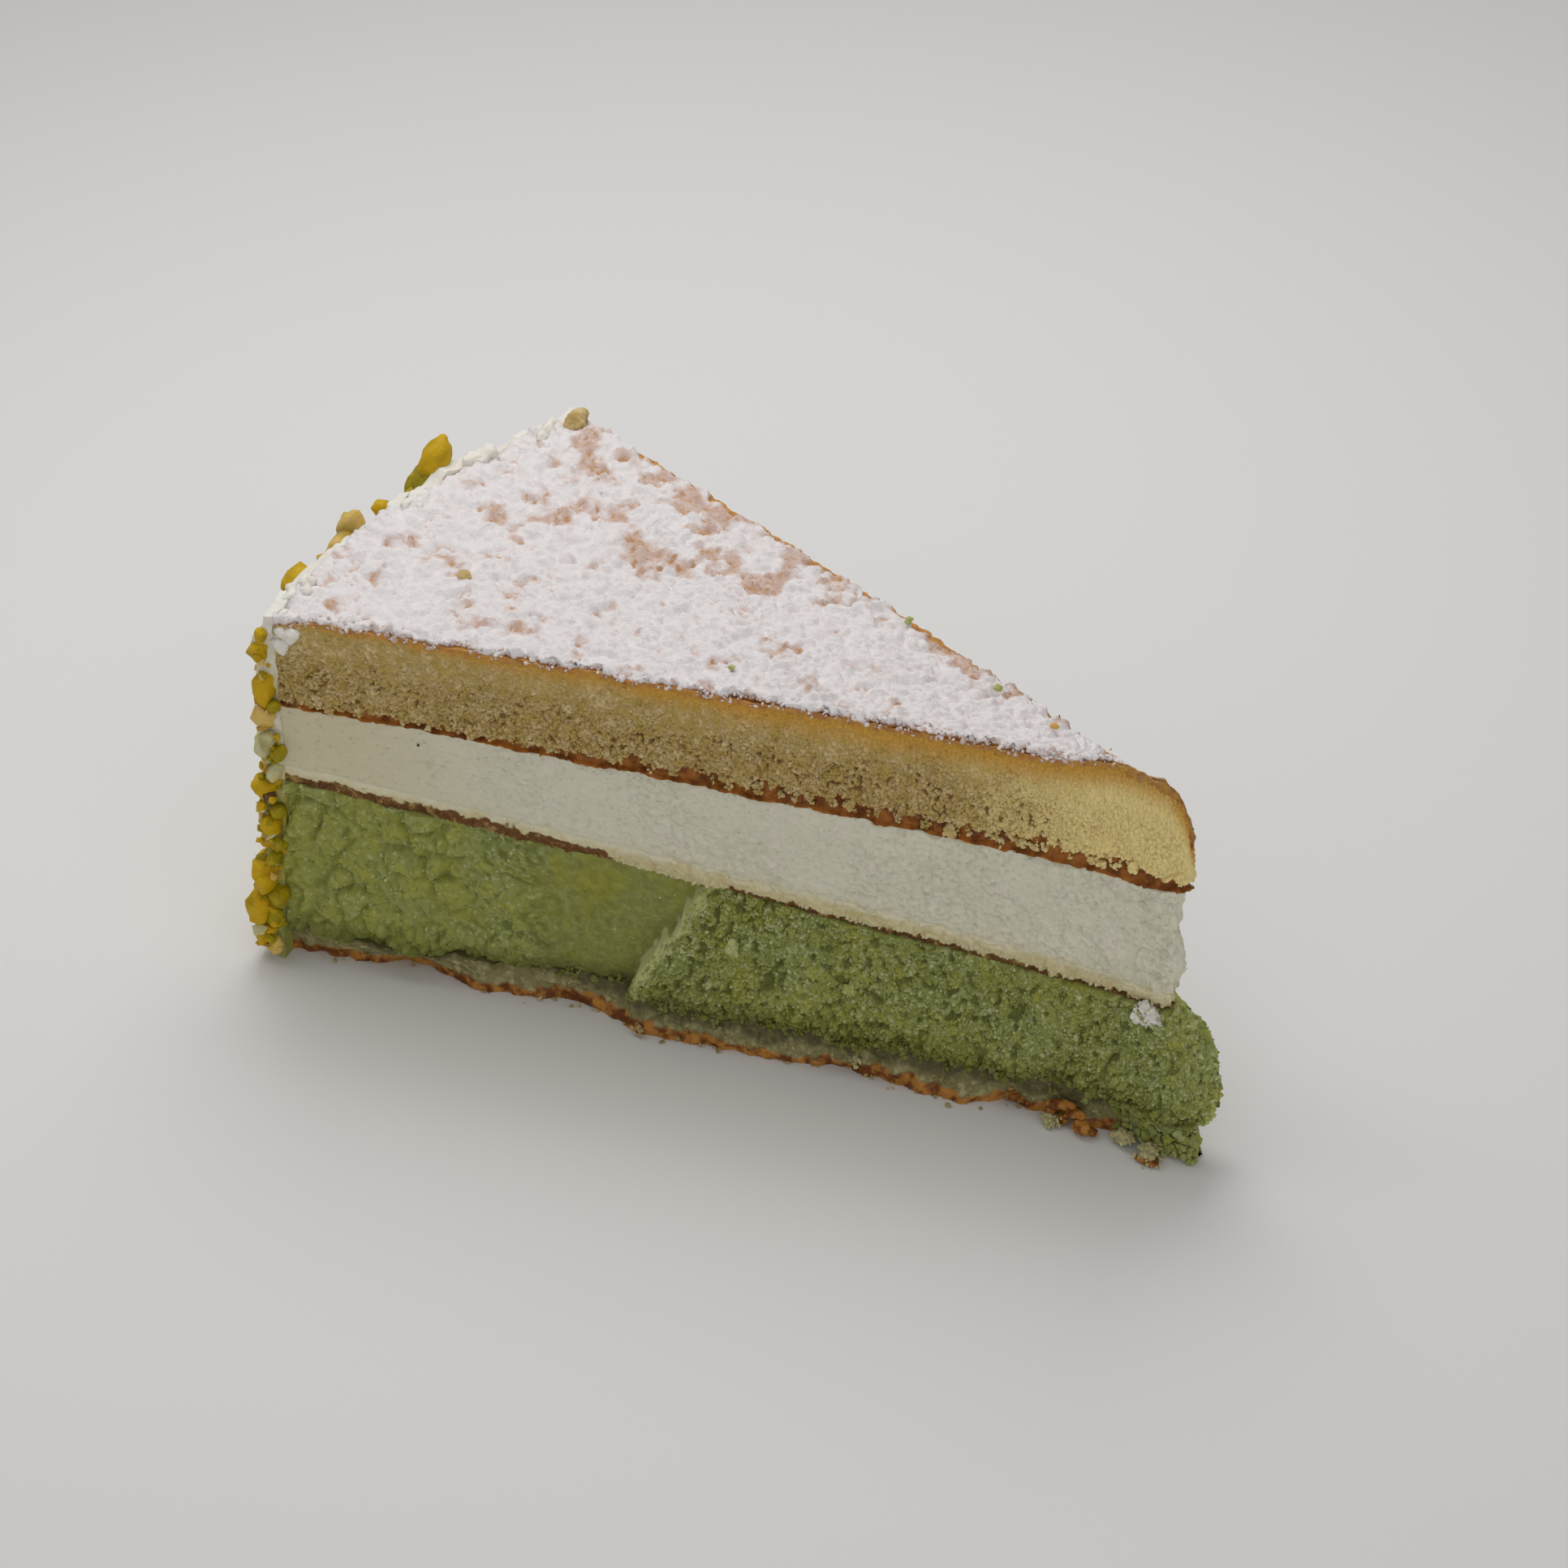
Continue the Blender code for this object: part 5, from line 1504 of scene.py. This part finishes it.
LUMPS = (
    ("ricotta_cream", "front", (2.3, 20.9, 1.3), (1.7, 1.3, 1.5), LIT_WHITE),
    ("ricotta_cream", "front", (3.9, 20.0, 1.0), (1.0, 0.9, 1.0), LIT_WHITE),
    ("ricotta_cream", "front", (0.8, 20.1, 1.2), (0.9, 0.9, 1.0), LIT_WHITE),
    ("base_sponge", "front", (15.4, 1.6, 1.8), (0.9, 0.8, 1.2), BROWN),
    ("base_sponge", "front", (14.7, 2.8, 1.6), (1.2, 0.8, 0.8), BROWN),
    ("base_sponge", "front", (13.3, 3.2, 1.4), (1.5, 0.8, 0.7), BROWN),
    ("base_sponge", "front", (11.9, 2.5, 1.6), (1.5, 0.9, 0.8), BROWN),
    ("base_sponge", "front", (10.7, 1.4, 1.9), (1.5, 1.0, 0.9), BROWN),
    ("base_sponge", "front", (9.4, 0.7, 2.0), (0.9, 0.9, 0.5), BROWN),
    ("base_sponge", "front", (15.2, 0.9, 2.6), (1.0, 1.0, 0.9), PALE),
    ("base_sponge", "front", (1.3, 0.5, 3.4), (1.6, 1.0, 0.5), BROWN),
    ("base_sponge", "front", (1.6, 1.3, 2.9), (1.5, 1.3, 1.0), PALE),
    ("base_sponge", "front", (5.2, 1.4, 2.0), (1.6, 1.2, 1.0), PALE),
    ("base_sponge", "front", (20.6, 1.6, 0.6), (1.0, 0.8, 0.8), BROWN),
    ("ricotta_cream", "front", (100.3, 38.0, 0.1), (0.26, 0.2, 0.24), SPECK),
    ("top_sponge", "front", (29.1, 40.9, 0.6), (0.9, 0.7, 1.1), PALE),
    ("top_sponge", "front", (42.3, 41.6, 0.6), (0.8, 0.6, 0.9), PALE),
    ("top_sponge", "front", (5.5, 41.0, 0.8), (0.7, 0.6, 0.7), PALE),
    ("pistachio_cream", "front", (41.5, 14.2, 0.6), (1.0, 0.8, 0.8), YELLOW),
    ("pistachio_cream", "front", (57.3, 16.6, 0.3), (0.9, 0.6, 1.3), GREEN),
    ("top_sponge", "top", (99.9, -11.8, 0.9), (0.9, 0.8, 0.8), TAN),
    ("top_sponge", "top", (18.7, 1.0, 0.5), (0.6, 0.5, 0.4), TAN),
    ("top_sponge", "rim", (14.3, 54.4, -2.0), (1.7, 1.9, 1.6), TAN),
    ("pistachio_cream", "top", (47.7, 12.0, 0.1), (0.5, 0.7, 0.4), BRIGHT),
    ("pistachio_cream", "top", (29.5, 4.8, 0.2), (0.5, 0.5, 0.4), BRIGHT),
    ("pistachio_cream", "top", (58.7, -10.7, 0.9), (0.6, 0.5, 0.4), BRIGHT),
    ("rim_coat", "rim", (12.4, 53.9, -1.2), (1.6, 2.6, 1.4), CREAM),
    ("rim_coat", "rim", (6.9, 53.6, -0.2), (2.0, 3.2, 1.9), CREAM),
    ("rim_coat", "rim", (0.2, 53.9, -1.4), (2.0, 2.8, 1.3), CREAM),
    ("rim_coat", "rim", (-11.4, 52.7, -0.2), (2.0, 3.4, 1.8), CREAM),
    ("rim_coat", "rim", (-14.4, 51.0, 0.2), (1.8, 2.2, 2.0), CREAM),
    ("rim_coat", "front", (117.4, 51.0, -0.3), (1.9, 1.3, 1.2), CREAM),
    ("rim_coat", "front", (118.6, 49.4, -0.4), (1.4, 1.2, 1.6), CREAM),
)


def lump_middle(sizes, layer, where, first, second, third):
    """The middle of a lump, from its three numbers in the table."""
    if where == "rim":
        return rim_place(math.radians(first), CAKE_RADIUS + third * MM, second * MM)
    if where == "top":
        height = surface_height("sponge_top", first * MM, 0.0) + third * MM
        return APEX + Vector((-first * MM, second * MM, height))
    layer = LAYERS.get(layer, LAYERS["top_sponge"])
    place, _ = front_place(layer, sizes, first * MM, second * MM, third * MM)
    return Vector((place.x, place.y, second * MM))


def add_lump(shape, middle, size, values, seed):
    """A craggy lump, softer where it is cream, and flat where it reaches the floor."""
    crags = {CREAM: 0.3, TAN: 0.3, BROWN: 0.45}.get(values, 1.0)
    marks = Marks(*(shape.verts.layers.float[mark] for mark in Marks._fields))
    for vertex in bmesh.ops.create_icosphere(shape, subdivisions=4, radius=1.0)["verts"]:
        away = vertex.co * Vector(size) * MM
        place = middle + away
        bulge, chance = cells(place, 0.8 * MM, seed)
        swell = 0.85 + 0.5 * ripple(place, 1.7 * MM, seed) + 0.5 * crags * (bulge - 0.5) * (0.3 + chance)
        swell += 0.3 * crags * ripple(place, 0.7 * MM, seed)
        vertex.co = middle + away * swell
        vertex.co.z = max(vertex.co.z, 0.0)
        for mark, value in zip(marks, values):
            vertex[mark] = value
        # The pit darkens the lump's crevices with painted shade in the finishes that use it
        vertex[marks.pit] = 0.5 * (1 - bulge)


class SLICE_OT_lumps(bpy.types.Operator):
    """Lays the single lumps and clumps where they fell"""

    bl_idname = "slice.lumps"
    bl_label = "Lumps"

    def execute(self, context):
        sizes = context.scene.slice_sizes
        for layer in sorted({lump[0] for lump in LUMPS}):
            shape = bmesh.new()
            mark_layers(shape)
            for seed, (name, where, place, size, values) in enumerate(LUMPS):
                if name == layer:
                    add_lump(shape, lump_middle(sizes, layer, where, *place), size, values, seed)
            dressed = "rim_cream" if layer == "rim_coat" else layer + "_cut"
            finished_piece(layer + "_lumps", shape, bpy.data.objects[dressed].data.materials[0], layer)
        return {"FINISHED"}


# Stage --------------------------------------------------------------------------------------------


class SLICE_OT_stage(bpy.types.Operator):
    """Sets the pale floor, the soft light and the camera"""

    bl_idname = "slice.stage"
    bl_label = "Stage"

    def execute(self, context):
        settings = context.scene.stage_settings
        floor = bmesh.new()
        bmesh.ops.create_grid(floor, x_segments=1, y_segments=1, size=3.0)
        mesh = bpy.data.meshes.new("floor")
        floor.to_mesh(mesh)
        floor.free()
        finish = Finish("pale floor", 0.85)
        mesh.materials.append(finish.done(settings.floor, None, finish.noise(3 * MM, 4.0, 0.6), 0.02 * MM))
        ground = bpy.data.objects.new("floor", mesh)
        ground.location.z = -FLOOR_DROP
        context.scene.collection.objects.link(ground)

        world = bpy.data.worlds.new("soft room")
        context.scene.world = world
        world.use_nodes = True
        background = world.node_tree.nodes["Background"]
        background.inputs["Color"].default_value = (1.0, 0.995, 0.985, 1.0)
        background.inputs["Strength"].default_value = settings.sky

        for number, (place, size, power) in enumerate(LAMPS):
            lamp = bpy.data.lights.new(f"soft lamp {number}", "AREA")
            lamp.shape, lamp.size, lamp.energy = "SQUARE", size, power * settings.lamp
            lit = bpy.data.objects.new(lamp.name, lamp)
            lit.location = place
            lit.rotation_mode = "QUATERNION"
            lit.rotation_quaternion = (LOOK_AT - place).to_track_quat("-Z", "Y")
            context.scene.collection.objects.link(lit)

        camera = bpy.data.cameras.new("camera")
        camera.sensor_width, camera.lens = SENSOR_WIDTH, FOCAL_LENGTH
        camera.clip_start, camera.clip_end = 0.01, 20.0
        seen = bpy.data.objects.new("camera", camera)
        back = Vector((
            math.sin(CAMERA_AZIMUTH) * math.cos(CAMERA_ELEVATION),
            -math.cos(CAMERA_AZIMUTH) * math.cos(CAMERA_ELEVATION),
            math.sin(CAMERA_ELEVATION),
        ))
        right = (-back).cross(Vector((0, 0, 1))).normalized()
        up = right.cross(-back)
        level = math.cos(CAMERA_ROLL) * right + math.sin(CAMERA_ROLL) * up
        rotation = Matrix((level, back.cross(level), back)).transposed()
        seen.matrix_world = Matrix.Translation(LOOK_AT + back * CAMERA_DISTANCE) @ rotation.to_4x4()
        context.scene.collection.objects.link(seen)
        context.scene.camera = seen
        context.scene.view_settings.view_transform = "Standard"
        return {"FINISHED"}


class SLICE_PT_panel(bpy.types.Panel):
    """Lists the steps that dress the slice"""

    bl_label = "Cake slice"
    bl_idname = "SLICE_PT_panel"
    bl_space_type = "VIEW_3D"
    bl_region_type = "UI"
    bl_category = "Cake slice"

    def draw(self, context):
        for group in ("slice_sizes", "slice_colours", "stage_settings"):
            settings = getattr(context.scene, group)
            box = self.layout.box()
            for name in settings.__annotations__:
                box.prop(settings, name)
        for operator in OPERATORS:
            self.layout.operator(operator.bl_idname)


GROUPS = {"slice_sizes": SliceSizes, "slice_colours": SliceColours, "stage_settings": StageSettings}
OPERATORS = (
    SLICE_OT_base,
    SLICE_OT_pistachio,
    SLICE_OT_sponge_disc,
    SLICE_OT_ricotta,
    SLICE_OT_top_sponge,
    SLICE_OT_icing,
    SLICE_OT_coat,
    SLICE_OT_nuts,
    SLICE_OT_lumps,
    SLICE_OT_stage,
)
CLASSES = (*GROUPS.values(), *OPERATORS, SLICE_PT_panel)


def register():
    for cls in CLASSES:
        bpy.utils.register_class(cls)
    for name, group in GROUPS.items():
        setattr(bpy.types.Scene, name, PointerProperty(type=group))


def unregister():
    for name in GROUPS:
        delattr(bpy.types.Scene, name)
    for cls in reversed(CLASSES):
        bpy.utils.unregister_class(cls)


def main():
    register()
    bpy.ops.slice.base()
    bpy.ops.slice.pistachio()
    bpy.ops.slice.sponge_disc()
    bpy.ops.slice.ricotta()
    bpy.ops.slice.top_sponge()
    bpy.ops.slice.icing()
    bpy.ops.slice.coat()
    bpy.ops.slice.nuts()
    bpy.ops.slice.lumps()
    bpy.ops.slice.stage()


if __name__ == "__main__":
    main()
